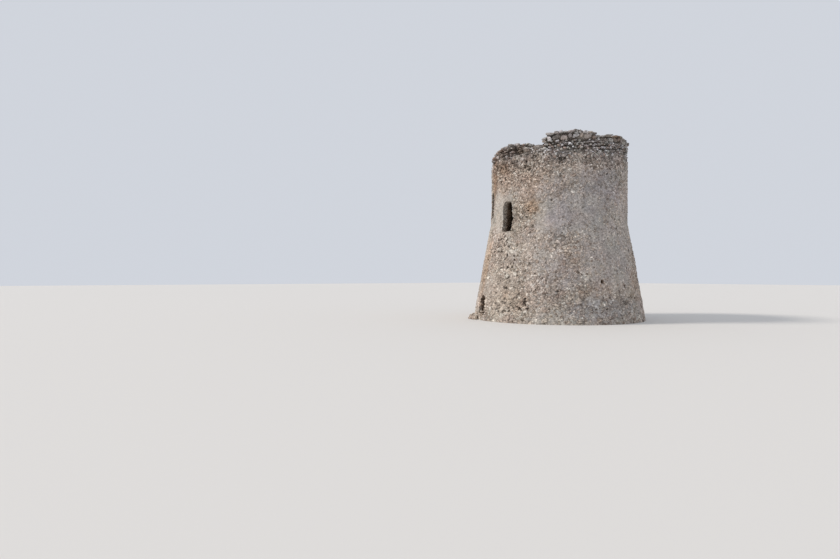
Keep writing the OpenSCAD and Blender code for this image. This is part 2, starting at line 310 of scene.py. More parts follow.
def patch_sum(direction, z, places):
    """Sum of the patches in a list, each times its strength."""
    total = np.zeros(len(z))
    for at, height, half_angle, half_height, strength in places:
        total += strength * patch(direction, z, at, height, half_angle, half_height)
    return total


def patches(points, places):
    """Sum of the patches in a list at each point."""
    direction, _ = polar(points)
    return patch_sum(direction, points[:, 2], places)


# Lists of patches: direction, height, half width in degrees, half height and strength of each

# Where the rubble is bare (above 0) or the render whole (below 0)
BARE_PATCHES = [
    (270, 5.60, 7, 0.75, -0.42), (259, 5.55, 7, 1.00, -0.15), (266, 3.45, 9, 0.95, 0.60),
    (271, 2.65, 9, 0.60, 0.30), (282, 5.20, 9, 1.00, 0.25), (272, 7.20, 26, 0.80, 0.60),
    (272, 1.35, 19, 1.15, 0.28), (258, 0.80, 12, 0.60, 0.30), (237, 7.20, 9, 1.00, 0.35),
    (300, 7.45, 14, 0.35, 0.40), (340, 7.75, 40, 0.25, 0.40), (306, 4.70, 10, 0.45, -0.20),
    (308, 3.10, 10, 0.70, -0.20), (345, 5.20, 26, 2.00, -0.16), (350, 1.10, 28, 0.70, 0.12),
    (242, 5.95, 6, 0.95, -0.40), (40, 2.50, 18, 1.30, 0.45), (75, 6.30, 16, 0.80, -0.35),
    (110, 4.20, 20, 1.20, 0.40), (160, 1.20, 24, 0.90, 0.50), (175, 6.60, 20, 0.90, 0.45),
    (205, 3.60, 16, 1.40, -0.25),
]
# Where small stones have dropped out and left pits
PITTED_PATCHES = [
    (267, 3.55, 8, 0.75, 1.0), (275, 2.85, 9, 0.65, 0.7), (272, 1.50, 14, 0.60, 0.3),
    (285, 0.90, 14, 0.45, 0.6), (268, 7.85, 24, 0.50, 1.0), (262, 7.00, 14, 0.50, 0.5),
    (310, 8.05, 26, 0.30, 0.45), (268, 0.60, 12, 0.35, 0.7), (238, 7.10, 9, 1.00, 0.7),
    (350, 8.00, 30, 0.30, 0.5), (50, 7.90, 60, 0.40, 0.5), (140, 2.00, 30, 1.20, 0.5),
    (70, 1.50, 20, 0.90, 0.4),
]
# Where the whole wall leans in (below 0) or swells: the left side of the upper storey leans in
LEAN_PATCHES = [
    (222, 8.75, 34, 0.75, -0.04), (225, 7.00, 26, 2.40, -0.08), (226, 8.80, 20, 0.50, -0.14),
    (28, 3.10, 28, 1.60, -0.05), (130, 4.60, 40, 1.60, -0.03), (238, 3.10, 24, 1.60, -0.055),
]
# Hollows worn in the face: direction, height of the middle, depth and radius of the curve
WORN_HOLLOWS = [
    (265, 3.50, 0.060, 4.5), (269, 2.70, 0.045, 3.5), (258.5, 2.95, 0.040, 3.0),
    (288, 1.20, 0.055, 5.0), (283.5, 0.80, 0.040, 3.5), (44, 2.70, 0.050, 5.0),
    (80, 3.20, 0.055, 5.0), (74, 2.45, 0.045, 3.5), (86, 2.50, 0.040, 3.0),
    (118, 2.10, 0.060, 5.0), (112, 1.45, 0.045, 3.5), (160, 1.25, 0.055, 4.5),
    (167, 1.70, 0.040, 3.0), (206, 3.30, 0.045, 5.0), (274, 7.10, 0.055, 4.5),
    (267, 7.30, 0.040, 2.5),
]
# Pits where scaffold poles were let into the wall: direction, height of the middle and width
POLE_PITS = [
    (343.2, 1.97, 0.15), (363, 1.75, 0.13), (369, 1.27, 0.11), (35, 1.85, 0.13),
    (82, 1.95, 0.14), (128, 1.80, 0.13), (176, 1.90, 0.14), (214, 1.85, 0.13),
]
POLE_PIT_D = 0.14
# How bare the rubble is on the whole, and how much slow clouds add to that or take away
BARE_LEVEL = 0.38
BARE_CLOUDS = 0.20
# How deep joints sink and stones stand out under whole render, and how much more on bare rubble
SINK = 0.008
BARE_SINK = 0.050
PROUD = 0.012
BARE_PROUD = 0.042
# Depth of a dropped stone's pit, and height of the slow waves of the whole wall
DROPPED_D = 0.075
WAVE_H = 0.018
# Width over which a stone rounds off into its joint
SMALL_JOINT_W = 0.026
LARGE_JOINT_W = 0.044
# Radius that parts the outer face from the surfaces of the rooms and the parapet's inner face
INNER_R = 3.2
# Radius inside which a passage's jambs count as the room's
PASSAGE_R = 2.6


def bareness(points):
    """How far the render has gone, from 0 to 1: a level, slow clouds and patches, added up.

    Towards the crown it goes altogether, and most of it inside the passages."""
    z = points[:, 2]
    _, r = polar(points)
    bare = BARE_LEVEL + BARE_CLOUDS * clouds(points, 1.3, 11) + patches(points, BARE_PATCHES)
    bare += ease((z + 0.25 * drift(points, 0.9, 17) - BARE_FROM_Z) / 0.7)
    bare += 0.7 * ease((face_r(z) - r - 0.05) / 0.10) * (r > PASSAGE_R) * (z < WALL_TOP)
    return np.clip(bare, 0.0, 1.0)


def dropped(points, tone, bare, small):
    """1 on the stones that have dropped out: the darkest, in pitted places and where all is bare.

    Few of them are large."""
    pitted = np.clip(patches(points, PITTED_PATCHES), 0.0, 1.0)
    limit = (0.012 * bare**2 + 0.17 * pitted) * np.where(small, 1.0, 0.15)
    return ease((limit - tone) / 0.015 + 0.5)


def joint_width(points, small):
    """Width over which a stone rounds off into its joint: narrower on small stones, and uneven."""
    width = np.where(small, SMALL_JOINT_W, LARGE_JOINT_W)
    return width * (1.0 + 0.5 * drift(points, 0.35, 27))


def pillow(gap, width):
    """Rounded face of a stone: 0 in the joint, rising steeply at first, 1 from the width on."""
    return 1.0 - (1.0 - np.clip(gap / width, 0.0, 1.0)) ** 2


def worn_depth(points):
    """Depth of the worn hollows: how far a place on the face lies inside their spheres."""
    depth = np.zeros(len(points))
    for at, height, deepest, radius in WORN_HOLLOWS:
        tilt = batter(height)
        out = face_r(height) + (radius - deepest) * np.cos(tilt)
        middle = spot(at, out, height + (radius - deepest) * np.sin(tilt))
        depth = np.maximum(depth, radius - np.linalg.norm(points - middle, axis=1))
    return depth


def pit_depth(points):
    """Depth of the square pits for scaffold poles, with worn edges."""
    direction, r = polar(points)
    depth = np.zeros(len(points))
    for at, height, width in POLE_PITS:
        across = np.abs(np.radians(apart(direction, at)) * face_r(height))
        out = np.maximum(across, np.abs(points[:, 2] - height)) - width / 2
        depth = np.maximum(depth, POLE_PIT_D * ease(0.5 - out / 0.05))
    return depth * (r > INNER_R)


def lean(points):
    """How far the whole outer face leans in or swells."""
    return patches(points, LEAN_PATCHES) * (polar(points)[1] > INNER_R)


def relief(points):
    """How far the face stands out at each point, in metres.

    Rounded stones stand out of joints that sink with bareness, each by its own chance and tilt.
    Grain, slow waves and the lean of the whole wall are added, and the depths of dropped stones,
    worn hollows and pole pits are taken off."""
    bare = bareness(points)
    gap, tone, odd, place, small = masonry(points)
    face = pillow(gap, joint_width(points, small))
    sink = (SINK + BARE_SINK * bare**1.3) * np.where(small, 0.80, 1.0)
    proud = PROUD + BARE_PROUD * bare
    tilt = (tone - 0.5) * place[:, 0] + (odd - 0.5) * place[:, 1]
    out = sink * (face - 1.0) + proud * (odd - 0.5) * face + 0.45 * bare * tilt
    out += (0.004 + 0.006 * bare) * clouds(points, 0.10, 31)
    out += WAVE_H * clouds(points, 1.6, 41, 2)
    out -= DROPPED_D * dropped(points, tone, bare, small) * face
    return out - worn_depth(points) - pit_depth(points) + lean(points)


# Profiles swept round the axis

def run(start, end, step, push):
    """Straight stretch of a profile: radius, height, and push times its outward normal."""
    start = np.array(start, float)
    end = np.array(end, float)
    length = np.hypot(*(end - start))
    count = max(1, round(length / step))
    share = np.arange(count)[:, None] / count
    way = (end - start) / length
    normal = np.array([way[1], -way[0]]) * push
    return np.hstack([start + (end - start) * share, np.tile(normal, (count, 1))])


def bow(centre_z, radius, start, end, step, push):
    """Arc of a profile about a point on the axis, between two angles above the level."""
    count = max(2, round(abs(math.radians(end - start)) * radius / step))
    angle = np.radians(start + (end - start) * np.arange(count) / count)
    way = np.stack([np.cos(angle), np.sin(angle)], axis=1)
    side = push if end > start else -push
    return np.hstack([way * radius + [0.0, centre_z], way * side])


def angles_between(first, last, radius, step):
    """Even angles from first to last, about step apart at the radius."""
    count = max(2, round(math.radians(last - first) * radius / step))
    return np.linspace(first, last, count + 1)


def tube_faces(rows, columns, whole=False):
    """Faces of a closed outline (columns) carried along a path (rows): its sides as quads, and
    one face for each end. A whole tube's last row meets its first, and it has no ends."""
    i = np.arange(rows if whole else rows - 1)[:, None]
    j = np.arange(columns)[None, :]
    next_i = (i + 1) % rows * columns
    next_j = (j + 1) % columns
    quads = np.stack([i * columns + j, next_i + j, next_i + next_j, i * columns + next_j], axis=2)
    end = np.arange(columns)[None, :]
    ends = [] if whole else [end, ((rows - 1) * columns + end)[:, ::-1]]
    return quads.reshape(-1, 4), ends


def shell(r, z, angles):
    """Points and faces of a closed profile (columns) turned through the angles (rows)."""
    whole = abs(angles[-1] - angles[0] - 360.0) < 1e-6
    if whole:
        r, z, angles = r[:-1], z[:-1], angles[:-1]
    quads, ends = tube_faces(*r.shape, whole)
    return spot(angles[:, None], r, z).reshape(-1, 3), [quads, *ends]


def sweep(profile, angles, shape):
    """A profile turned through the angles, each point moved along its normal by its push times
    the function shape of its place."""
    profile = np.vstack(profile)
    r, z, push_r, push_z = (np.tile(column, (len(angles), 1)) for column in profile.T)
    moved = np.hypot(push_r, push_z) > 0
    out = np.zeros(r.shape)
    out[moved] = shape(spot(angles[:, None], r, z)[moved])
    return shell(r + push_r * out, z + push_z * out, angles)


# Meshes

def put_mesh(name, points, faces):
    """A new object with its place in its mesh, from points and arrays of face corners."""
    mesh = bpy.data.meshes.new(name)
    corners = np.concatenate([block.ravel() for block in faces]).astype(np.int32)
    totals = np.concatenate([np.full(len(block), block.shape[1]) for block in faces])
    starts = np.concatenate([[0], np.cumsum(totals)[:-1]]).astype(np.int32)
    mesh.vertices.add(len(points))
    mesh.vertices.foreach_set("co", np.asarray(points, np.float32).ravel())
    mesh.loops.add(len(corners))
    mesh.loops.foreach_set("vertex_index", corners)
    mesh.polygons.add(len(starts))
    mesh.polygons.foreach_set("loop_start", starts)
    mesh.update(calc_edges=True)
    mesh.validate()
    piece = bpy.data.objects.new(name, mesh)
    bpy.context.scene.collection.objects.link(piece)
    return piece


def joined(parts):
    """One set of points and faces from several, with the face corners renumbered."""
    faces = []
    first = 0
    for part_points, part_faces in parts:
        faces += [block + first for block in part_faces]
        first += len(part_points)
    return np.vstack([part[0] for part in parts]), faces


def mesh_points(piece):
    """The piece's points as an array."""
    points = np.zeros(len(piece.data.vertices) * 3, np.float32)
    piece.data.vertices.foreach_get("co", points)
    return points.reshape(-1, 3).astype(float)


def mark(piece, name, values):
    """Stores one number a point under the name, for the materials to read."""
    layer = piece.data.attributes.new(name, "FLOAT", "POINT")
    values = np.broadcast_to(values, len(layer.data))
    layer.data.foreach_set("value", values.astype(np.float32))


def cut(piece, cutters):
    """Takes the closed cutters out of the closed piece and removes them."""
    for cutter in cutters:
        modifier = piece.modifiers.new("cut", "BOOLEAN")
        modifier.operation = "DIFFERENCE"
        modifier.solver = "MANIFOLD"
        modifier.object = cutter
    graph = bpy.context.evaluated_depsgraph_get()
    mesh = bpy.data.meshes.new_from_object(piece.evaluated_get(graph))
    piece.modifiers.clear()
    spare = [piece.data]
    piece.data = mesh
    for cutter in cutters:
        spare.append(cutter.data)
        bpy.data.objects.remove(cutter)
    for old in spare:
        bpy.data.meshes.remove(old)


def close_pole(piece):
    """Merges the points that a sweep leaves on the axis."""
    work = bmesh.new()
    work.from_mesh(piece.data)
    bmesh.ops.remove_doubles(work, verts=work.verts, dist=1e-5)
    bmesh.ops.dissolve_degenerate(work, edges=work.edges, dist=1e-6)
    work.to_mesh(piece.data)
    work.free()


def soften(piece, degrees=42.0):
    """Smooth shading that keeps edges sharper than the angle."""
    piece.data.polygons.foreach_set("use_smooth", np.ones(len(piece.data.polygons), bool))
    piece.data.set_sharp_from_angle(angle=math.radians(degrees))


# What the materials read from a masonry piece

# Stains on the face, as lists of patches
RUST_STAINS = [
    (294, 5.50, 6, 0.40, 0.70), (290, 6.30, 9, 1.30, 0.25), (248, 7.30, 6, 1.20, 1.00),
    (246, 2.70, 8, 1.50, 0.85), (258, 7.70, 14, 0.50, 0.50), (272, 1.20, 10, 0.80, 0.25),
    (266, 7.00, 10, 0.90, 0.35), (300, 6.90, 10, 0.60, 0.25), (284, 1.10, 12, 0.50, 0.30),
    (8, 8.86, 9, 0.15, 0.90), (280.5, 8.40, 6, 0.30, 0.90), (264, 8.45, 9, 0.22, 0.70),
    (252, 0.80, 6, 0.60, 0.60), (228, 4.20, 10, 2.00, 0.60), (322, 2.85, 9, 0.70, 0.30),
    (20, 1.60, 11, 0.90, 0.35), (338, 1.60, 14, 0.40, 0.30), (190, 2.00, 20, 2.00, 0.40),
    (120, 6.20, 16, 1.20, 0.35),
]
PALE_STAINS = [
    (330, 7.55, 2.5, 0.55, 0.90), (306, 4.80, 12, 0.50, 0.70), (273, 1.50, 13, 1.20, 0.90),
    (259, 5.50, 7, 1.10, 0.80), (266, 3.60, 9, 0.90, 0.80), (334, 8.78, 6, 0.13, 0.90),
    (318, 8.76, 5, 0.10, 0.60), (238, 3.70, 11, 1.00, 0.80), (260, 1.35, 8, 0.80, 0.70),
    (358, 1.50, 14, 0.60, 0.35), (289, 8.34, 3, 0.14, 0.90), (300, 3.70, 12, 0.50, 0.50),
    (60, 5.00, 16, 1.60, 0.50), (145, 3.50, 18, 1.40, 0.50),
]
COOL_STAINS = [
    (345, 0.70, 30, 0.55, 0.85), (357, 6.60, 14, 1.00, 0.80), (338, 5.90, 16, 1.30, 0.50),
    (314, 4.75, 10, 0.90, 0.75), (312, 6.30, 12, 1.20, 0.35), (315, 2.20, 16, 1.00, 0.40),
    (325, 3.40, 40, 2.60, 0.15), (20, 4.00, 40, 4.00, 0.25), (95, 2.00, 30, 2.00, 0.50),
]
DARK_STAINS = [
    (272, 7.98, 28, 0.45, 0.95), (248, 7.20, 8, 1.20, 0.75), (352, 6.90, 18, 0.90, 0.30),
    (247, 1.80, 6, 1.00, 0.35), (8, 8.86, 9, 0.15, 0.70), (294, 5.45, 7, 0.50, 0.30),
    (120, 7.90, 50, 0.40, 0.50), (190, 6.80, 14, 1.00, 0.40), (60, 7.60, 30, 0.40, 0.40),
]
# Each kind of stain with its patches and the draw that breaks them up
STAINS = {
    "rust": (RUST_STAINS, 51), "pale": (PALE_STAINS, 54), "cool": (COOL_STAINS, 57),
    "dark": (DARK_STAINS, 64),
}


def stains(points, places, draw):
    """The strength of one kind of stain at each point, from 0 to 1, broken up by clouds."""
    strength = patches(points, places) * (1.0 + 0.7 * clouds(points, 0.45, draw))
    return np.clip(strength, 0.0, 1.0)


def painted_inner_shade(points):
    """How much painted shade a place gets for being deep in a passage, a room or a pit, from 0 to
    1.

    The rooms' faces get a little less of it than the passages that lead to them."""
    _, r = polar(points)
    z = points[:, 2]
    room_r = np.where(z > STOREY_Z, CHAMBER_R, STORE_R)
    lit = np.where(z < STORE_SPRING, 0.10, 0.20)
    # Painted shade, growing inward from the end of a lit strip near the face
    deep = ease((face_r(z) - r - lit) / 0.18) * (z < WALL_TOP)
    inside = deep * (1.0 - 0.6 * ease((room_r + 0.14 - r) / 0.10))
    # The scaffold pole pits get painted shade by their depth too
    return np.maximum(inside, 0.8 * pit_depth(points) / POLE_PIT_D)


def mark_stones(piece, points, tone, odd, joint, bare):
    """Marks what a stone finish reads: each point's tone, chance of standing out, share of joint
    and bareness, the stains, how high it is weathered, and the painted shade of lying deep inside.

    The stains fade on the way in through the wall."""
    for name, values in (("tone", tone), ("odd", odd), ("joint", joint), ("bare", bare)):
        mark(piece, name, values)
    outside = ease((polar(points)[1] - PARAPET_R + 0.10) / 0.30)
    for name, (places, draw) in STAINS.items():
        mark(piece, name, outside * stains(points, places, draw))
    wandering_z = points[:, 2] + 0.3 * drift(points, 0.8, 61)
    mark(piece, "high", ease((wandering_z - WEATHERED_FROM_Z) / 1.1))
    # Painted shade deep in passages, rooms and pits, stored under the name inside
    mark(piece, "inside", painted_inner_shade(points))


def joint_share(points, gap, small):
    """How much of the joint's colour a point takes: 1 in its middle, 0 on the stone."""
    return 1.0 - pillow(gap, 0.7 * joint_width(points, small))


def mark_wall(piece):
    """Marks a wall's stones at the piece's final points, and which of them have dropped out."""
    points = mesh_points(piece)
    gap, tone, odd, _, small = masonry(points)
    bare = bareness(points)
    mark_stones(piece, points, tone, odd, joint_share(points, gap, small), bare)
    mark(piece, "dropped", dropped(points, tone, bare, small))


# Materials

def material(name):
    """An empty node material, and a function that adds a node with its settings and inputs.

    An input is named by its socket, or by an underscore and the socket's number."""
    finish = bpy.data.materials.new(name)
    finish.use_nodes = True
    tree = finish.node_tree
    tree.nodes.clear()

    def node(kind, settings=None, **inputs):
        """A new node of a kind, its inputs linked where they are given sockets."""
        made = tree.nodes.new(kind)
        for key, value in (settings or {}).items():
            setattr(made, key, value)
        for key, value in inputs.items():
            name_or_number = int(key[1:]) if key[0] == "_" else key.replace("_", " ")
            socket = made.inputs[name_or_number]
            if isinstance(value, bpy.types.NodeSocket):
                tree.links.new(value, socket)
            else:
                socket.default_value = value
        return made

    return finish, node


def rgb(red, green, blue):
    """A colour socket's value from linear red, green and blue."""
    return (red, green, blue, 1.0)


def stone_finish(name, tones, high_tones, render, joint_colour, grain, rough):
    """Rubble under worn lime render.

    Stone tones come from a ramp over each stone's own number, and greyer ones high up. Render
    covers them where the wall isn't bare, dark joints open where it is, and stains, grain, bump and
    painted shade are laid over both. grain is the strength of the fine grain, and rough the
    roughness."""
    finish, node = material(name)

    def blend(kind, share, first, second):
        """The second colour laid over the first, or multiplied with it, by a share."""
        return node("ShaderNodeMix", {"data_type": "RGBA", "blend_type": kind},
                    _0=share, _6=first, _7=second).outputs[2]

    def sum_of(first, second, kind="ADD"):
        """The sum of two values."""
        return node("ShaderNodeMath", {"operation": kind}, _0=first, _1=second).outputs[0]

    def product(first, second):
        """The product of two values."""
        return sum_of(first, second, "MULTIPLY")

    def ranged(value, from_low, from_high, to_low, to_high, kind="LINEAR"):
        """A value carried over from one range to another, and held at that one's ends."""
        return node("ShaderNodeMapRange", {"interpolation_type": kind}, _0=value, _1=from_low,
                    _2=from_high, _3=to_low, _4=to_high).outputs[0]

    def read(attribute):
        """A number that mark() stored at the piece's points."""
        return node("ShaderNodeAttribute", {"attribute_name": attribute}).outputs["Fac"]

    place = node("ShaderNodeTexCoord").outputs["Object"]

    def noise(scale, detail, roughness=0.6, stretch=(1.0, 1.0, 1.0)):
        """Noise in layers over the tower's own coordinates, which stretch multiplies first."""
        where = node("ShaderNodeMapping", Vector=place, Scale=stretch).outputs[0]
        return node("ShaderNodeTexNoise", Vector=where, Scale=scale, Detail=detail,
                    Roughness=roughness).outputs["Fac"]

    def ramp(colours):
        """Colours at even steps of the stones' tones."""
        made = node("ShaderNodeValToRGB", Fac=read("tone"))
        points = made.color_ramp.elements
        points[0].color = rgb(*colours[0])
        points[1].color = rgb(*colours[-1])
        for share, colour in list(zip(np.linspace(0, 1, len(colours)), colours))[1:-1]:
            points.new(share).color = rgb(*colour)
        return made.outputs[0]

    # Grain, blotches, pores and streaks, and the chips of which a rubble face is made
    fine = noise(30.0, 5.0, 0.7)
    sand = noise(130.0, 3.0)
    blotch = noise(10.0, 2.0)
    pores = noise(15.0, 1.5)
    broad = noise(1.8, 3.0)
    streak = noise(1.0, 3.0, 0.5, (5.0, 5.0, 0.5))
    hue = noise(0.75, 2.0)
    high = read("high")
    chips = node("ShaderNodeMapping", Vector=place, Scale=(1.0, 1.0, 1.35)).outputs[0]
    chips = node("ShaderNodeTexVoronoi", Vector=chips, Scale=14.0)
    chip_edge = ranged(chips.outputs["Distance"], 0.20, 0.70, 0.0, 1.0)
    chip_tone = node("ShaderNodeSeparateColor", Color=chips.outputs["Color"]).outputs[0]

    # Stones, the render over them, and the joints and holes between them
    worn = sum_of(read("bare"), product(sum_of(fine, -0.5), 0.9))
    worn = sum_of(worn, product(sum_of(read("odd"), -0.5), 0.55))
    stone = blend("MIX", high, ramp(tones), ramp(high_tones))
    cover = blend("MIX", high, rgb(*render), rgb(*(0.62 * part for part in render)))
    shows = ranged(worn, 0.10, 0.55, 0.0, 1.0, "SMOOTHSTEP")
    colour = blend("MIX", shows, cover, stone)
    opened = ranged(worn, 0.15, 0.85, 0.35, 1.0)
    colour = blend("MIX", product(read("joint"), opened), colour, rgb(*joint_colour))
    # Pits of dropped stones take most of the joints' dark colour: the core laid bare there, and
    # painted shade in the pit
    colour = blend("MIX", product(read("dropped"), 0.75), colour, rgb(*joint_colour))

    # Lighter and darker
    shade = product(ranged(broad, 0.3, 0.7, 0.86, 1.14), ranged(blotch, 0.3, 0.7, 0.76, 1.26))
    # Chips: lighter in each one's middle and darker at its edge, partly the dark joint round it and
    # partly painted shading of its rounded face; their tones differ at random
    chip_shade = ranged(chip_edge, 0.0, 1.0, 1.18, 0.64)
    chip_shade = product(chip_shade, ranged(chip_tone, 0.0, 1.0, 0.78, 1.32))
    chipped = ranged(worn, -0.1, 0.6, 0.35, 1.0)
    chip_shade = sum_of(product(sum_of(chip_shade, -1.0), chipped), 1.0)
    shade = product(shade, chip_shade)
    shade = product(shade, ranged(pores, 0.58, 0.72, 1.0, 0.62))
    shade = product(shade, ranged(fine, 0.25, 0.75, 1.0 - grain, 1.0 + grain))
    shade = product(shade, ranged(sand, 0.3, 0.7, 0.92, 1.08))
    shade = product(shade, ranged(streak, 0.3, 0.7, 0.92, 1.08))
    # Painted shade: darker deep in passages, rooms and pits, down to 0.04 of the colour
    shade = product(shade, ranged(read("inside"), 0.0, 1.0, 1.0, 0.04))
    grey = node("ShaderNodeCombineColor", Red=shade, Green=shade, Blue=shade).outputs[0]
    colour = blend("MULTIPLY", 1.0, colour, grey)

    # Tints, stains, lichen, and the brown of the painted shade deep inside
    pinker = rgb(1.02, 0.985, 0.985)
    greener = rgb(0.985, 1.0, 0.98)
    tint = blend("MIX", ranged(hue, 0.36, 0.64, 0.0, 1.0), pinker, greener)
    colour = blend("MULTIPLY", 1.0, colour, tint)
    colour = blend("MULTIPLY", read("rust"), colour, rgb(0.97, 0.83, 0.72))
    colour = blend("MIX", product(read("pale"), 0.32), colour, rgb(0.70, 0.62, 0.54))
    colour = blend("MULTIPLY", read("cool"), colour, rgb(0.84, 0.86, 0.93))
    colour = blend("MULTIPLY", read("dark"), colour, rgb(0.70, 0.67, 0.65))
    # Painted shade: browner deep in passages, rooms and pits
    colour = blend("MULTIPLY", read("inside"), colour, rgb(1.0, 0.76, 0.58))
    lichen = product(ranged(noise(3.5, 4.0), 0.54, 0.70, 0.0, 0.32), high)
    colour = blend("MIX", lichen, colour, rgb(0.19, 0.19, 0.14))

    # Bump
    height = sum_of(product(fine, 0.8), product(sand, 0.25))
    height = sum_of(height, product(blotch, 0.9))
    height = sum_of(height, ranged(pores, 0.58, 0.72, 0.0, -0.8))
    height = sum_of(height, product(product(chip_edge, chipped), -1.1))
    bump = node("ShaderNodeBump", Height=height, Strength=0.6, Distance=0.014).outputs[0]
    shader = node("ShaderNodeBsdfPrincipled", Base_Color=colour, Normal=bump, Roughness=rough,
                  Specular_IOR_Level=0.2)
    node("ShaderNodeOutputMaterial", Surface=shader.outputs[0])
    return finish


# Colours of stones, in the order of their tones: dark, middling and pale ones by turns
WALL_TONES = [(0.12, 0.10, 0.08), (0.45, 0.37, 0.30), (0.62, 0.54, 0.46), (0.34, 0.26, 0.21),
              (0.72, 0.64, 0.55), (0.49, 0.39, 0.32), (0.58, 0.54, 0.48), (0.92, 0.84, 0.74)]
CROWN_TONES = [(0.08, 0.07, 0.06), (0.36, 0.33, 0.31), (0.50, 0.48, 0.47), (0.22, 0.17, 0.14),
               (0.62, 0.60, 0.61), (0.38, 0.29, 0.25), (0.54, 0.52, 0.47), (0.86, 0.84, 0.87)]
EARTH_TONES = [(0.22, 0.15, 0.10), (0.36, 0.28, 0.22)]
HIGH_EARTH_TONES = [(0.20, 0.16, 0.12), (0.42, 0.36, 0.30)]

wall_finish = stone_finish(
    "worn_render_over_rubble", WALL_TONES, CROWN_TONES, render=(0.50, 0.455, 0.415),
    joint_colour=(0.075, 0.058, 0.048), grain=0.20, rough=0.92)
inner_finish = stone_finish(
    "old_limewash", WALL_TONES, WALL_TONES, render=(0.50, 0.46, 0.41),
    joint_colour=(0.14, 0.11, 0.09), grain=0.12, rough=0.95)
dressed_finish = stone_finish(
    "smeared_arch_stone", WALL_TONES[1:], WALL_TONES[1:], render=(0.46, 0.405, 0.36),
    joint_colour=(0.15, 0.12, 0.10), grain=0.12, rough=0.90)
earth_finish = stone_finish(
    "stony_earth", EARTH_TONES, HIGH_EARTH_TONES, render=(0.34, 0.26, 0.20),
    joint_colour=(0.14, 0.10, 0.07), grain=0.20, rough=0.97)


def finished(piece, finish, slot, *nodes):
    """Gives the piece its finish and body, and hides the frame's parts for the nodes that it stands
    for. slot is not used.
    """
    piece.data.materials.clear()
    piece.data.materials.append(finish)
    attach(piece, "root")
    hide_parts(*nodes)
    return piece


# Walls of the two storeys

def base_profile():
    """The base storey's section: battered face, bed under the chamber wall, vault seat, foot."""
    storey_r = face_r(STOREY_Z)
    upper = run((BELLY_R, BELLY_Z), (storey_r, STOREY_Z), FACE_STEP, 1.0)
    rim = np.array([[storey_r, STOREY_Z, *upper[-1, 2:]]])
    return [
        run((FOOT_R, 0.0), (BELLY_R, BELLY_Z), FACE_STEP, 1.0),
        upper,
        rim,
        run((storey_r - RIM, STOREY_Z), (STORE_SEAT_R, STOREY_Z), HIDDEN_STEP, 0.0),
        run((STORE_SEAT_R, STOREY_Z), (STORE_SEAT_R, STORE_SPRING), HIDDEN_STEP, 0.0),
        run((STORE_SEAT_R, STORE_SPRING), (STORE_R, STORE_SPRING), HIDDEN_STEP, 0.0),
        run((STORE_R, STORE_SPRING), (STORE_R, STORE_FLOOR), ROOM_STEP, ROOM_PUSH),
        run((STORE_R, STORE_FLOOR), (STORE_R, 0.0), HIDDEN_STEP, 0.0),
        run((STORE_R, 0.0), (FOOT_R, 0.0), HIDDEN_STEP, 0.0),
    ]


def chamber_profile():
    """The chamber storey's section: end of the batter, upright face, top, vault seat, room."""
    storey_r = face_r(STOREY_Z)
    return [
        run((storey_r, STOREY_Z), (WALL_R, WAIST_Z), FACE_STEP, 1.0),
        run((WALL_R, WAIST_Z), (WALL_R, WALL_TOP), FACE_STEP, 1.0),
        np.array([[WALL_R, WALL_TOP, 1.0, 0.0]]),
        run((WALL_R - RIM, WALL_TOP), (CHAMBER_SEAT_R, WALL_TOP), HIDDEN_STEP, 0.0),
        run((CHAMBER_SEAT_R, WALL_TOP), (CHAMBER_SEAT_R, CHAMBER_SPRING), HIDDEN_STEP, 0.0),
        run((CHAMBER_SEAT_R, CHAMBER_SPRING), (CHAMBER_R, CHAMBER_SPRING), HIDDEN_STEP, 0.0),
        run((CHAMBER_R, CHAMBER_SPRING), (CHAMBER_R, STOREY_Z), ROOM_STEP, ROOM_PUSH),
        run((CHAMBER_R, STOREY_Z), (storey_r, STOREY_Z), HIDDEN_STEP, 0.0),
    ]


def passage_points(at, across, z, out):
    """Places given across, up and out of a passage, turned to the direction it faces."""
    turn = math.radians(at)
    ahead = np.array([math.cos(turn), math.sin(turn)])
    side = np.array([-math.sin(turn), math.cos(turn)])
    flat = out[..., None] * ahead + across[..., None] * side
    return np.concatenate([flat, z[..., None]], axis=-1)


def even_outline(corners, step):
    """A closed outline with a point about every step along its sides."""
    pieces = []
    for start, end in zip(corners, np.roll(corners, -1, axis=0)):
        count = max(1, round(np.hypot(*(end - start)) / step))
        pieces.append(start + (end - start) * np.arange(count)[:, None] / count)
    return np.vstack(pieces)


def cutter(name, outline, at, reach, rough, draw):
    """A prism along a passage: an outline across and up, carried outward over its reach.

    Its sides move square to themselves by rough times clouds and the joints between the wall's
    stones, so that the cut isn't smooth. rough is one number, or one for each outline point."""
    near, far = reach
    count = max(2, round((far - near) / CUT_STEP))
    columns = len(outline)
    out = np.tile(np.linspace(near, far, count + 1)[:, None], (1, columns))
    across = np.tile(outline[:, 0], (count + 1, 1))
    z = np.tile(outline[:, 1], (count + 1, 1))
    plain = passage_points(at, across, z, out).reshape(-1, 3)
    ahead = np.roll(outline, -1, axis=0) - np.roll(outline, 1, axis=0)
    way = np.stack([ahead[:, 1], -ahead[:, 0]], axis=1)
    way /= np.linalg.norm(way, axis=1)[:, None]
    gap, _, odd, _, _ = masonry(plain)
    stones = 0.9 * (odd - 0.5) * pillow(gap, 0.03) + 1.0 - pillow(gap, 0.03)
    push = rough * (0.6 * clouds(plain, 0.22, draw) + stones).reshape(across.shape)
    points = passage_points(at, across + push * way[:, 0], z + push * way[:, 1], out)
    quads, ends = tube_faces(count + 1, columns)
    outward = np.roll(quads[:, ::-1], 1, axis=1)
    return put_mesh(name, points.reshape(-1, 3), [outward, *(end[:, ::-1] for end in ends)])


def half_round(radius, spring, step):
    """Points of a round head between its two springings, from right to left."""
    count = round(math.pi * radius / step)
    angle = np.pi * np.arange(1, count) / count
    return np.stack([radius * np.cos(angle), spring + radius * np.sin(angle)], axis=1)


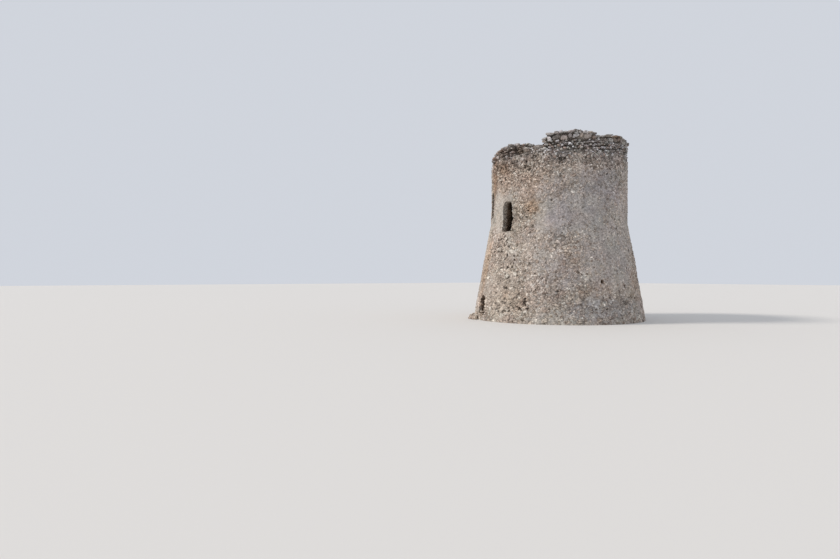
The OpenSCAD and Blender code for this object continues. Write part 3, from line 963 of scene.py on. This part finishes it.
def half_and_spring(opening):
    """Half the width of an opening, and the height at which its round head springs."""
    half = opening["w"] / 2
    return half, opening["head"] - half


def opening_outline(opening, step):
    """Outline of a round-headed opening, counter-clockwise from its lower right corner."""
    half, spring = half_and_spring(opening)
    corners = np.vstack([
        [(half, opening["sill"]), (half, spring)],
        half_round(half, spring, step),
        [(-half, spring), (-half, opening["sill"])],
    ])
    return even_outline(corners, step)


def seat_outline(opening, step):
    """Outline of what the wall leaves out: the opening with its arch ring and its sill stone."""
    half, spring = half_and_spring(opening)
    ring = half + ARCH_T
    wide = half + SILL_BEARING
    sill = opening["sill"]
    low = sill - opening["sill_t"]
    corners = np.vstack([
        [(-wide, sill), (-wide, low), (wide, low), (wide, sill), (half, sill), (half, spring),
         (ring, spring)],
        half_round(ring, spring, step),
        [(-ring, spring), (-half, spring), (-half, sill)],
    ])
    return even_outline(corners, step)


def jamb_roughness(outline, opening):
    """How far the outline's points may move: only on the jambs, fading towards arch and sill."""
    half, spring = half_and_spring(opening)
    up = outline[:, 1]
    on_jamb = np.abs(np.abs(outline[:, 0]) - half) < 1e-6
    above = ease((up - opening["sill"]) / 0.08)
    below = ease((spring - up) / 0.08)
    return JAMB_ROUGH * on_jamb * above * below


def opening_cut(name, opening, draw):
    """The cutter of an opening together with the seats of its arch ring and its sill."""
    seat = seat_outline(opening, 0.03)
    return cutter(name, seat, opening["at"], OPENING_CUT, jamb_roughness(seat, opening), draw)


def breach_cut():
    """The cutter of the breach."""
    edge = even_outline(BREACH_EDGE, 0.04)
    return cutter("breach_cut", edge, BREACH_AT, BREACH_CUT, BREACH_ROUGH, 61)


def wall_piece(name, profile, first, radius, openings):
    """One wall segment: the swept profile with its openings cut through."""
    angles = angles_between(first, first + SEGMENT, radius, FACE_STEP)
    piece = put_mesh(name + "_masonry", *sweep(profile, angles, relief))
    if openings:
        cut(piece, openings)
    mark_wall(piece)
    soften(piece)
    return finished(piece, wall_finish, "render_stone", name)


# The segments of each storey, counter-clockwise, and the direction in which the first begins
BASE_WALLS = [
    "base_wall_left_front", "base_wall_front_left", "base_wall_front_right",
    "base_wall_right_front", "base_wall_right_back", "base_wall_back_right",
    "base_wall_back_left", "base_wall_left_back",
]
BASE_FROM = 187.5
CHAMBER_WALLS = [
    "chamber_wall_front_left", "chamber_wall_front", "chamber_wall_front_right",
    "chamber_wall_right", "chamber_wall_back_right", "chamber_wall_back",
    "chamber_wall_back_left", "chamber_wall_left",
]
CHAMBER_FROM = 210.0

for k, name in enumerate(BASE_WALLS):
    holes = [breach_cut()] if name == "base_wall_front_left" else []
    wall_piece(name, base_profile(), BASE_FROM + SEGMENT * k, BASE_SPACING_R, holes)
for k, name in enumerate(CHAMBER_WALLS):
    holes = []
    if name == "chamber_wall_front":
        holes = [opening_cut("doorway_cut", DOORWAY, 64)]
    if name == "chamber_wall_front_left":
        holes = [opening_cut("window_cut", WINDOW, 67)]
    wall_piece(name, chamber_profile(), CHAMBER_FROM + SEGMENT * k, CHAMBER_SPACING_R, holes)


# Arch rings and sills

# Points of a band's section through the wall and over a face, and of an arch and a sill across
DEEP_POINTS = 26
OVER_POINTS = 6
ARCH_POINTS = 73
SILL_POINTS = 31
# Depth and half width of the joints between arch stones
ARCH_JOINT_D = 0.012
ARCH_JOINT_HALF_W = 0.014
# The worn shoulder: its angle up from the right springing and its half width, in radians
SHOULDER_AT = 0.85
SHOULDER_HALF_W = 0.35
# Depth to which feet have worn a sill
SILL_WEAR = 0.012


def through_piece(name, opening, side_a, side_b, order):
    """A stone band through the wall, from side a to side b, flush with both faces.

    side_a and side_b are matching lists of points across and up. At each pair the section runs
    in along side a, over the inner face, out along side b and back over the outer face. The
    outer face follows the wall's own relief. order is -1 where the band's faces would otherwise
    look inward, and else 1."""
    deep = np.arange(DEEP_POINTS) / DEEP_POINTS
    over = np.arange(OVER_POINTS) / OVER_POINTS

    def lane(share):
        """Across, up, and how far out the inner and outer faces lie, at a share from a to b."""
        across, z = (side_a + (side_b - side_a) * share).T
        turn = opening["at"] + np.degrees(np.arctan2(across, WALL_R))
        r = face_r(z)
        r = r + relief(spot(turn, r, z))
        inner_r = np.where(z < CHAMBER_SPRING, CHAMBER_R, CHAMBER_SEAT_R)
        return across, z, np.sqrt(inner_r**2 - across**2), np.sqrt(r**2 - across**2)

    across, z, inner, outer = lane(0.0)
    columns = [(across, z, outer + (inner - outer) * share) for share in deep]
    for share in over:
        across, z, inner, _ = lane(share)
        columns.append((across, z, inner))
    across, z, inner, outer = lane(1.0)
    columns += [(across, z, inner + (outer - inner) * share) for share in deep]
    for share in over:
        across, z, _, outer = lane(1.0 - share)
        columns.append((across, z, outer))
    across, z, out = (np.stack(part, axis=1) for part in zip(*columns))
    quads, ends = tube_faces(*across.shape)
    faces = [block[:, ::order] for block in (quads, *ends)]
    piece = put_mesh(name, passage_points(opening["at"], across, z, out).reshape(-1, 3), faces)
    mark_wall(piece)
    soften(piece)
    return piece


def arch_piece(name, opening):
    """The ring of arch stones, between an inner and an outer half circle.

    The inner one is grooved at the joints between its stones, set back at the worn shoulder, and
    roughened by noise. All that fades out towards its springings."""
    half, spring = half_and_spring(opening)
    angle = np.linspace(0.0, np.pi, ARCH_POINTS)
    way = np.stack([np.cos(angle), np.sin(angle)], axis=1)
    to_joint = np.abs((angle / np.pi * ARCH_STONES + 0.5) % 1.0 - 0.5) * np.pi / ARCH_STONES
    groove = ARCH_JOINT_D * np.exp(-(to_joint * half / ARCH_JOINT_HALF_W) ** 2)
    groove += opening["worn"] * np.exp(-((angle - SHOULDER_AT) / SHOULDER_HALF_W) ** 2)
    groove += 0.014 * clouds(np.stack([way[:, 0], way[:, 1], angle], axis=1), 0.30, 95, 2)
    groove *= ease(np.minimum(angle, np.pi - angle) / 0.25)
    side_a = way * (half + groove[:, None]) + [0.0, spring]
    side_b = way * (half + ARCH_T) + [0.0, spring]
    piece = through_piece(name + "_stones", opening, side_a, side_b, -1)
    return finished(piece, dressed_finish, "dressed_stone", name)


def sill_piece(name, opening):
    """The sill stone, its top worn hollow by a squared cosine across the opening."""
    half, _ = half_and_spring(opening)
    sill = opening["sill"]
    across = np.linspace(-half - SILL_BEARING, half + SILL_BEARING, SILL_POINTS)
    hollow = SILL_WEAR * np.cos(np.clip(across / half, -1, 1) * np.pi / 2) ** 2
    side_a = np.stack([across, sill - hollow], axis=1)
    side_b = np.stack([across, np.full(SILL_POINTS, sill - opening["sill_t"])], axis=1)
    piece = through_piece(name + "_stone", opening, side_a, side_b, 1)
    return finished(piece, dressed_finish, "dressed_stone", name)


arch_piece("doorway_arch", DOORWAY)
arch_piece("window_arch", WINDOW)
sill_piece("doorway_sill", DOORWAY)
sill_piece("window_sill", WINDOW)


# Rooms: vaults and floors

# Size of the small flat stones in a floor, and how far in from its rim earth has gathered
SLAB = (0.19, 0.16, 0.40)
EARTH_W = 0.45


def vault_relief(points):
    """Relief of rough vault stones: each set in or out by chance, its joints sunk, plus clouds."""
    gap, _, odd, _, _ = masonry(points)
    joint = np.exp(-gap / 0.03)
    return 0.03 * (odd - 0.5) * (1 - joint) - 0.02 * joint + 0.012 * clouds(points, 0.5, 71)


def vault_piece(name, half_span, spring, crown, thick, openings):
    """A vault's shell, turned right round: rough inner face, seat and back.

    The inner face is the cap of a ball that passes through springing and crown. The back belongs
    to a ball about the same middle, larger by the vault's thickness."""
    rise = crown - spring
    radius = (half_span**2 + rise**2) / (2 * rise)
    centre = crown - radius
    back = radius + thick
    low = math.degrees(math.asin((spring - centre) / radius))
    back_low = math.degrees(math.asin((spring - centre) / back))
    seat_out = math.sqrt(back**2 - (spring - centre) ** 2)
    profile = [
        bow(centre, back, back_low, 90.0, HIDDEN_STEP, 0.0),
        np.array([[0.0, centre + back, 0.0, 0.0], [0.0, centre + radius, 0.0, 0.0]]),
        bow(centre, radius, 90.0, low, ROOM_STEP, 1.0)[1:],
        run((half_span, spring), (seat_out, spring), HIDDEN_STEP, 0.0),
    ]
    angles = angles_between(0.0, 360.0, half_span, ROOM_STEP)
    piece = put_mesh(name + "_stones", *sweep(profile, angles, vault_relief))
    close_pole(piece)
    if openings:
        cut(piece, openings)
    mark_wall(piece)
    soften(piece)
    return finished(piece, inner_finish, "inner_lime", name)


def slabs(points):
    """The stones of a floor: cells in plan."""
    u = points[:, 0] / SLAB[0] + 0.2 * drift(points, SLAB[0], 705)
    v = points[:, 1] / SLAB[1] + 0.2 * drift(points, SLAB[0], 706)
    gap, tone, odd, _, _ = cells(u, v, np.zeros(len(points)), SLAB, 700)
    return gap, tone, odd


def floor_piece(name, radius, low, high, step, rough, finish, slot):
    """A round floor: flat bed, rim, and an uneven top of small flat stones in lime or earth.

    Earth has gathered against the wall round it, so the top rises a little at its rim."""

    def top_shape(points):
        """The rise of the earth, and rough times clouds, stones set by chance and sunk joints."""
        gap, _, odd = slabs(points)
        joint = np.exp(-gap / 0.03)
        rise = 0.05 * ease((polar(points)[1] - radius + EARTH_W) / EARTH_W)
        swell = 0.5 * clouds(points, 0.9, 81) + 0.35 * clouds(points, 0.16, 85)
        return rise + rough * (swell + 0.5 * (odd - 0.5) * (1 - joint) - 0.4 * joint)

    profile = [
        run((0.0, low), (radius, low), HIDDEN_STEP, 0.0),
        run((radius, low), (radius, high), HIDDEN_STEP, 0.0),
        run((radius, high), (0.0, high), step, 1.0),
        np.array([[0.0, high, 0.0, 0.0]]),
    ]
    angles = angles_between(0.0, 360.0, radius, step)
    piece = put_mesh(name + "_bed", *sweep(profile, angles, top_shape))
    close_pole(piece)
    points = mesh_points(piece)
    gap, tone, odd = slabs(points)
    bare = np.clip(0.45 + 0.4 * clouds(points, 0.8, 75), 0.0, 1.0)
    mark_stones(piece, points, tone, odd, np.exp(-gap / 0.025), bare)
    soften(piece)
    return finished(piece, finish, slot, name)


window_hole = cutter("window_passage", opening_outline(WINDOW, 0.05), WINDOW["at"], VAULT_CUT,
                     rough=0.0, draw=91)
vault_piece("chamber_vault", CHAMBER_R, CHAMBER_SPRING, CHAMBER_CROWN, CHAMBER_VAULT_T,
            [window_hole])
vault_piece("store_vault", STORE_R, STORE_SPRING, STORE_CROWN, STORE_VAULT_T, [])
floor_piece("store_floor", STORE_R, 0.0, STORE_FLOOR, step=0.08, rough=0.035,
            finish=earth_finish, slot="earth_floor")
floor_piece("chamber_floor", STORE_SEAT_R, STOREY_Z - CHAMBER_PAVING_T, STOREY_Z, step=0.08,
            rough=0.018, finish=inner_finish, slot="paving")
floor_piece("terrace_floor", PARAPET_R, WALL_TOP, TERRACE_Z, step=0.075, rough=0.035,
            finish=earth_finish, slot="paving")
# The fills of the vaults show from nowhere, so the shapes in the frame are kept for them
for name in ("store_vault_fill", "chamber_vault_fill"):
    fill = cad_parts[name]
    fill.data.materials.clear()
    fill.data.materials.append(inner_finish)


# Single stones

# Power that rounds a block: 2 gives a ball, and a high one a cube
STONE_POWER = 3.2
# How deep noise dents a stone, and how much it grows or shrinks from one end to the other
STONE_DENT = 0.24
STONE_SKEW = 0.50


def round_block(cuts):
    """Points and faces of a rounded block from -1 to 1, each side cut into cuts by cuts.

    Each side of a cube is a grid of two parameters. The points are drawn in until the powers of
    their coordinates add up to 1, and points that fall together become one."""
    line = np.linspace(-1.0, 1.0, cuts + 1)
    a, b = np.meshgrid(line, line, indexing="ij")
    one = np.ones_like(a)
    sides = [(one, a, b), (-one, b, a), (b, one, a), (a, -one, b), (a, b, one), (b, a, -one)]
    points = np.concatenate([np.stack(side, axis=2).reshape(-1, 3) for side in sides])
    i, j = np.meshgrid(np.arange(cuts), np.arange(cuts), indexing="ij")
    corner = (i * (cuts + 1) + j).reshape(-1)
    quad = np.stack([corner, corner + cuts + 1, corner + cuts + 2, corner + 1], axis=1)
    faces = np.concatenate([quad + k * (cuts + 1) ** 2 for k in range(6)])
    unique, where = np.unique(np.round(points, 6), axis=0, return_inverse=True)
    powers = (np.abs(unique) ** STONE_POWER).sum(axis=1, keepdims=True)
    return unique / powers ** (1 / STONE_POWER), where.reshape(-1)[faces]


def lay_stones(stones, cuts):
    """Rough stones: rounded blocks dented by noise, skewed, scaled, tilted and set in place.

    stones holds a direction, a centre, half sizes along, into and up the wall, a tilt, a seed
    and a tone for each. The seed moves the noise, so that no two stones are alike."""
    direction, centre, size, tilt, seed, _ = stones
    block, faces = round_block(cuts)
    count = len(seed)
    points = np.tile(block, (count, 1, 1))
    noise_at = points * 0.9 + seed[:, None, None] * [[[97.3, 55.1, 29.7]]]
    dent = clouds(noise_at.reshape(-1, 3), 1.0, 301, 2).reshape(count, -1)
    points = points * (1.0 + STONE_DENT * dent)[..., None]
    skew = (seed[:, None] * [31.0, 57.0, 83.0]) % 1.0 - 0.5
    points = points * (1.0 + STONE_SKEW * skew[:, None, :] * points[..., [1, 2, 0]])
    points = points * size[:, None, :]
    cos, sin = np.cos(tilt)[:, None], np.sin(tilt)[:, None]
    along = points[..., 0] * cos - points[..., 2] * sin
    up = points[..., 0] * sin + points[..., 2] * cos
    turn = np.radians(direction)[:, None]
    x = centre[:, 0:1] + points[..., 1] * np.cos(turn) - along * np.sin(turn)
    y = centre[:, 1:2] + points[..., 1] * np.sin(turn) + along * np.cos(turn)
    placed = np.stack([x, y, centre[:, 2:3] + up], axis=2).reshape(-1, 3)
    numbered = faces[None] + (np.arange(count) * len(block))[:, None, None]
    return placed, [numbered.reshape(-1, 4)]


# The crown

# Height from which loose stones take over, and how much higher that is on the inner face
LOOSE_FROM = 8.04
INNER_LOOSE_RISE = 0.18
# The open bed under the crest's tall course, the middle and half width of the stretch where it
# shows, and the beds of all courses
DARK_BED = 8.66
DARK_BED_AT = 327.0
DARK_BED_HALF_W = 24.0
COURSES = [7.96, 8.07, 8.17, 8.28, 8.38, 8.48, 8.57, DARK_BED, 8.90, 9.01, 9.12, 9.22]
# Distances from the axis of the rings of stones on the broken top
TOP_RINGS = (2.99, 3.20, 3.41)
# How far the core's top lies below the crown's line, and how far the parapet's laps over the
# crest's bed
CORE_BELOW_TOP = 0.11
CREST_LAP = 0.12
# How far in from its outer edge the top of the core moves with the face
CORE_RIM = 0.45
# A height above all of the tower
SKY = 99.0
# Places where the crown's stones are paler: its tall course. And where they are darker: above it
PALE_STONES = [(330, 8.78, 15, 0.17, 1.0), (289, 8.34, 4, 0.20, 1.0), (351, 8.80, 4, 0.14, 0.7)]
DARK_STONES = [(330, 9.08, 60, 0.17, 0.5), (8, 8.86, 9, 0.16, 0.4)]


def crown_top(direction):
    """Height of the ruined crown in a direction."""
    return np.interp((direction - 180.0) % 360.0 + 180.0, CROWN_LINE[:, 0], CROWN_LINE[:, 1])


def crown_bed(direction, r):
    """Height at which loose stones take over from the wall's face: a wandering line, which lies
    higher on the parapet's inner face."""
    turn = np.radians(direction)
    wander = 0.05 * np.sin(5 * turn + 1.0) + 0.05 * np.sin(13 * turn) + 0.03 * np.sin(29 * turn)
    return LOOSE_FROM + INNER_LOOSE_RISE * (r < INNER_R) + wander


def in_hollow(direction, z):
    """1 inside the hollow of the parapet's face, 0 outside, with soft edges."""
    across = np.abs(np.radians(apart(direction, HOLLOW_AT)) * WALL_R)
    return ease((HOLLOW_HALF_W + 0.04 - across) / 0.08) * ease((z - HOLLOW_Z + 0.03) / 0.06)


def ring_of_stones(face, mean_w, draw):
    """Directions and widths in degrees of one ring of stones, small ones and some larger."""
    count = round(2 * math.pi * face / mean_w)
    width = 0.55 + 1.1 * chance(draw, np.arange(count)) ** 1.6
    width = width / width.sum() * 360.0
    start = 360.0 * chance(draw + 1, np.array([7]))
    return (start + np.cumsum(width) - width / 2) % 360.0, width


def stone_tone(direction, z, luck):
    """A stone's tone from its chance, drawn towards 0.95 where it is pale, and down where dark.

    The stones in the parapet's hollow are dark too."""
    pale = patch_sum(direction, z, PALE_STONES)
    dark = patch_sum(direction, z, DARK_STONES) + 0.6 * in_hollow(direction, z)
    return (luck + (0.95 - luck) * 0.55 * pale) * (1.0 - np.minimum(dark, 1.0))


def face_course(low, high, face, side, draw):
    """The stones of one course in the outer face (side 1) or the inner face (side -1).

    luck gives each stone a chance number for each of its traits. Most stones of the low course
    at the dark bed have gone, which leaves an open joint."""
    tall = high - low
    direction, width = ring_of_stones(face, 1.3 * tall, draw)
    luck = [chance(draw + n, np.arange(len(direction))) for n in range(2, 11)]
    # The course runs in waves, and each stone lies a little high or low in it
    wave = 0.6 * min(tall, 0.1) * np.sin(np.radians(direction) * 9 + draw)
    middle = low + tall / 2 + wave + 0.75 * min(tall, 0.12) * (luck[4] - 0.5)
    # The share of its stones that have gone
    gone = 0.06 * (tall < 0.2) + 0.02
    open_bed = (high == DARK_BED) * (np.abs(apart(direction, DARK_BED_AT)) < DARK_BED_HALF_W)
    gone = gone + 0.42 * open_bed
    # The others stand if they are below the crown's ragged line and above the wall's face
    stands = middle + 0.22 * tall < crown_top(direction) + 0.06 * (luck[0] - 0.5)
    loose = middle > crown_bed(direction, face) - 0.02
    # Half depth, and how far a stone stands out of the face
    deep = 0.09 + 0.05 * luck[1]
    proud = 0.075 * (luck[2] - 0.75)
    if side > 0:
        proud += lean(spot(direction, face, middle))
        proud -= HOLLOW_D * in_hollow(direction, middle)
    centre = spot(direction, face + side * (proud - deep), middle)
    half_along = np.radians(width) * face * 0.47
    size = np.stack([half_along, deep, tall * (0.32 + 0.23 * luck[3])], axis=1)
    tilt = 0.9 * (luck[5] - 0.5)
    tone = stone_tone(direction, middle, luck[8])
    keep = stands & loose & (luck[6] > gone)
    return [part[keep] for part in (direction, centre, size, tilt, luck[7], tone)]


def top_ring(r, draw):
    """One ring of flat stones on the broken top of the crown.

    They lie just under its line, a little scattered, and follow the lean of the outer face the
    more the nearer they are to it. Some have gone, and so have those in the parapet's hollow."""
    direction, width = ring_of_stones(r, 0.24, draw)
    luck = [chance(draw + n, np.arange(len(direction))) for n in range(2, 10)]
    tall = 0.035 + 0.045 * luck[1]
    middle = crown_top(direction) - 0.045 - tall + 0.05 * (luck[2] - 0.5)
    leant = lean(spot(direction, WALL_R, middle)) * (r - PARAPET_R) / (WALL_R - PARAPET_R)
    r = r + leant + 0.10 * (luck[3] - 0.5)
    centre = spot(direction, r, middle)
    size = np.stack([np.radians(width) * r * 0.5, 0.10 + 0.06 * luck[4], tall], axis=1)
    keep = (luck[0] > 0.15) & ((in_hollow(direction, middle) < 0.5) | (r < WALL_R - HOLLOW_D - 0.1))
    tilt = 0.3 * (luck[5] - 0.5)
    return [part[keep] for part in (direction, centre, size, tilt, luck[6], 0.8 * luck[7])]


def loose_stones():
    """All loose stones of the crown: both faces course by course, and the rings of its top."""
    rings = []
    for face, side, draw in ((WALL_R, 1, 400), (PARAPET_R, -1, 800)):
        for k, (low, high) in enumerate(itertools.pairwise(COURSES)):
            rings.append(face_course(low, high, face, side, draw + 20 * k))
    rings += [top_ring(r, 1200 + 20 * k) for k, r in enumerate(TOP_RINGS)]
    return [np.concatenate(part) for part in zip(*rings)]


LOOSE_STONES = loose_stones()


def crown_core(first, last, low, top_of):
    """The crown's rubble core, its section given as shares of the height from low to its top.

    Its faces carry the wall's relief up to the bed of the loose stones. Above that they lie sunk
    behind those stones, roughened by noise, and deeper the higher they are."""
    angles = angles_between(first, last, WALL_R, 0.036)
    profile = np.vstack([
        run((WALL_R, 0.0), (WALL_R, 1.0), 1 / 18, 1.0),
        np.array([[WALL_R, 1.0, 1.0, 0.0]]),
        run((WALL_R - CORE_RIM, 1.0), (PARAPET_R, 1.0), 0.10, 0.0),
        run((PARAPET_R, 1.0), (PARAPET_R, 0.0), 1 / 12, 1.0),
        run((PARAPET_R, 0.0), (WALL_R, 0.0), 0.30, 0.0),
    ])
    r, share, push, _ = (np.tile(column, (len(angles), 1)) for column in profile.T)
    direction = np.tile(angles[:, None], (1, r.shape[1]))
    z = low + share * (top_of(direction) - CORE_BELOW_TOP - low)
    flat = spot(direction, r, z).reshape(-1, 3)
    rough = clouds(flat, 0.16, 601).reshape(r.shape)
    # How far a point is above the bed, and how far the sunken core has taken over there
    over = z - crown_bed(direction, r)
    sunk = ease(over / 0.05)
    sunk_out = 0.03 * rough - 0.085 - 0.05 * ease(over / 0.35) + lean(flat).reshape(r.shape)
    out = relief(flat).reshape(r.shape) * (1.0 - sunk) + sunk_out * sunk
    out = out - HOLLOW_D * in_hollow(direction, z) * (push > 0)
    z = z + 0.03 * rough * (share > 0.02)
    return shell(r + push * out, z, angles)


def crown_piece(name, first, last, low, reach, top_of):
    """One length of the crown: its core and the loose stones whose middles lie in it.

    Above the bed the core takes on the joints' dark colour, more of it the higher it lies: partly
    its own dark joints and partly painted shade behind the loose stones. The stones are bare and
    have none."""
    direction, centre = LOOSE_STONES[:2]
    here = (direction - first) % 360.0 < last - first
    here &= (centre[:, 2] >= low) & (centre[:, 2] < reach(direction))
    stones = [part[here] for part in LOOSE_STONES]
    core_points, core_faces = crown_core(first, last, low, top_of)
    points, faces = joined([(core_points, core_faces), lay_stones(stones, cuts=3)])
    piece = put_mesh(name + "_rubble", points, faces)
    each = (len(points) - len(core_points)) // max(1, here.sum())
    stone_tones = np.repeat(stones[5], each)
    gap, tone, odd, _, small = masonry(core_points)
    over = core_points[:, 2] - crown_bed(*polar(core_points))
    joint = joint_share(core_points, gap, small)
    # Above the bed the sunk core darkens towards the joint colour, the more the higher it lies: its
    # dark joints, and painted shade behind the loose stones
    joint = joint + (0.50 + 0.42 * ease(over / 0.35) - joint) * ease(over / 0.05)
    on_stones = np.ones(len(stone_tones))
    mark_stones(piece, points, np.concatenate([tone, stone_tones]),
                np.concatenate([odd, 0.5 * on_stones]), np.concatenate([joint, 0.0 * on_stones]),
                np.concatenate([bareness(core_points), on_stones]))
    soften(piece, degrees=55.0)
    return finished(piece, wall_finish, "bare_rubble", name)


def under_crest(direction):
    """Whether the crest stands over the parapet in a direction."""
    return (direction - CREST_FROM) % 360.0 < CREST_TO - CREST_FROM


def parapet_top(direction):
    """The parapet's top: the crown's line, or a lap over the crest's bed where the crest is."""
    return np.where(under_crest(direction), CREST_BED + CREST_LAP, crown_top(direction))


def parapet_reach(direction):
    """Height up to which the loose stones belong to the parapet and not to the crest."""
    return np.where(under_crest(direction), CREST_BED, SKY)


def crest_reach(direction):
    """Height up to which the loose stones belong to the crest: all of them."""
    return np.full(direction.shape, SKY)


# The parapet's segments, counter-clockwise from PARAPET_FROM, and the crest's lengths, each from
# one direction to another
PARAPETS = [
    "parapet_left_front", "parapet_front_left", "parapet_front_right", "parapet_right_front",
    "parapet_right_back", "parapet_back_right", "parapet_back_left", "parapet_left_back",
]
PARAPET_FROM = 180.0
CRESTS = {
    "crest_front_right": (CREST_FROM, 360.0), "crest_right_back": (360.0, 405.0),
    "crest_back_right": (405.0, 450.0), "crest_back_left": (450.0, CREST_TO),
}

for k, name in enumerate(PARAPETS):
    first = PARAPET_FROM + SEGMENT * k
    crown_piece(name, first, first + SEGMENT, WALL_TOP, parapet_reach, parapet_top)
for name, (first, last) in CRESTS.items():
    crown_piece(name, first, last, CREST_BED, crest_reach, crown_top)


# The stones that fell out of the breach: across the passage, distance out, height of the bed,
# and half sizes along, into and up the wall
FALLEN = np.array([
    (-0.27, 3.95, 0.35, 0.13, 0.11, 0.08), (0.29, 3.70, 0.35, 0.11, 0.12, 0.07),
    (-0.25, 3.45, 0.35, 0.10, 0.09, 0.06), (-0.73, 4.48, 0.00, 0.16, 0.13, 0.12),
    (-0.43, 4.50, 0.00, 0.12, 0.10, 0.10), (-1.02, 4.40, 0.00, 0.12, 0.10, 0.08),
    (-0.60, 4.62, 0.00, 0.07, 0.06, 0.05), (-0.90, 4.58, 0.00, 0.06, 0.07, 0.04),
    (-0.57, 4.42, 0.00, 0.09, 0.08, 0.10), (-0.24, 4.46, 0.00, 0.09, 0.09, 0.09),
    (-0.88, 4.44, 0.00, 0.08, 0.08, 0.07), (-0.26, 4.60, 0.00, 0.05, 0.05, 0.04),
    (-0.46, 4.42, 0.17, 0.08, 0.07, 0.06), (-0.66, 4.42, 0.19, 0.07, 0.07, 0.06),
    (-0.30, 4.40, 0.15, 0.08, 0.07, 0.07), (-0.38, 4.36, 0.26, 0.06, 0.06, 0.05),
    (0.30, 4.08, 0.35, 0.07, 0.07, 0.06), (-0.05, 4.10, 0.35, 0.08, 0.07, 0.06),
    (-0.26, 4.14, 0.35, 0.06, 0.06, 0.08), (0.12, 3.85, 0.35, 0.09, 0.08, 0.06),
    (-0.12, 3.75, 0.35, 0.07, 0.07, 0.05),
])


def fallen_piece():
    """The fallen stones, each turned and tilted by chance, with its foot cut off at its bed."""
    across, out, bed = FALLEN[:, 0], FALLEN[:, 1], FALLEN[:, 2]
    half = FALLEN[:, 3:6]
    seed = chance(701, np.arange(len(FALLEN)))
    centre = passage_points(BREACH_AT, across, bed + half[:, 2] * 0.9, out)
    stones = [BREACH_AT + 90.0 * seed, centre, half, 0.5 * (seed - 0.5), seed, seed]
    points, faces = lay_stones(stones, cuts=6)
    each = len(points) // len(FALLEN)
    points[:, 2] = np.maximum(points[:, 2], np.repeat(bed, each))
    piece = put_mesh("breach_rubble_stones", points, faces)
    mark_stones(piece, points, 0.8 * (np.repeat(seed, each) * 97.0) % 0.8, 0.5, 0.0, 1.0)
    soften(piece, degrees=50.0)
    return finished(piece, wall_finish, "bare_rubble", "breach_rubble")


fallen_piece()


# Camera, floor and light

# The camera stands to the right of the doorway, a little above head height
CAMERA_AT = (20.83, -22.34, 2.19)
CAMERA_DIRECTION = 146.73
CAMERA_PITCH = -0.26
LENS_MM = 24.0
SENSOR_MM = 36.0


def camera():
    """A nearly level wide camera that looks past the tower's left side, as the photo does."""
    lens = bpy.data.cameras.new("camera")
    lens.lens = LENS_MM
    lens.sensor_width = SENSOR_MM
    lens.clip_end = 500.0
    stand = bpy.data.objects.new("camera", lens)
    stand.rotation_mode = "XYZ"
    stand.location = CAMERA_AT
    stand.rotation_euler = (math.radians(90.0 + CAMERA_PITCH), 0.0,
                            math.radians(CAMERA_DIRECTION - 90.0))
    bpy.context.scene.collection.objects.link(stand)
    bpy.context.scene.camera = stand


def floor():
    """A wide plain pale floor."""
    half = 150.0
    corners = np.array([(-half, -half, 0), (half, -half, 0), (half, half, 0), (-half, half, 0)])
    plane = put_mesh("floor", corners, [np.array([[0, 1, 2, 3]])])
    finish, node = material("pale_floor")
    shader = node("ShaderNodeBsdfPrincipled", Base_Color=rgb(0.70, 0.68, 0.65), Roughness=0.9)
    node("ShaderNodeOutputMaterial", Surface=shader.outputs[0])
    plane.data.materials.append(finish)


def lamp(name, direction, height, strength, angle, colour):
    """A soft far lamp that shines on the tower from a direction and a height in degrees."""
    light = bpy.data.lights.new(name, "SUN")
    light.energy = strength
    light.angle = math.radians(angle)
    light.color = colour
    stand = bpy.data.objects.new(name, light)
    stand.rotation_mode = "XYZ"
    stand.rotation_euler = (math.radians(90.0 - height), 0.0, math.radians(direction + 90.0))
    bpy.context.scene.collection.objects.link(stand)


def surroundings():
    """Plain pale light from all round."""
    world = bpy.data.worlds.new("surroundings")
    world.use_nodes = True
    back = world.node_tree.nodes["Background"]
    back.inputs["Color"].default_value = rgb(0.88, 0.92, 1.0)
    back.inputs["Strength"].default_value = 0.72
    bpy.context.scene.world = world


camera()
floor()
lamp("key", direction=240.0, height=42.0, strength=1.9, angle=12.0, colour=(1.0, 0.94, 0.87))
surroundings()
bpy.context.scene.view_settings.view_transform = "Standard"
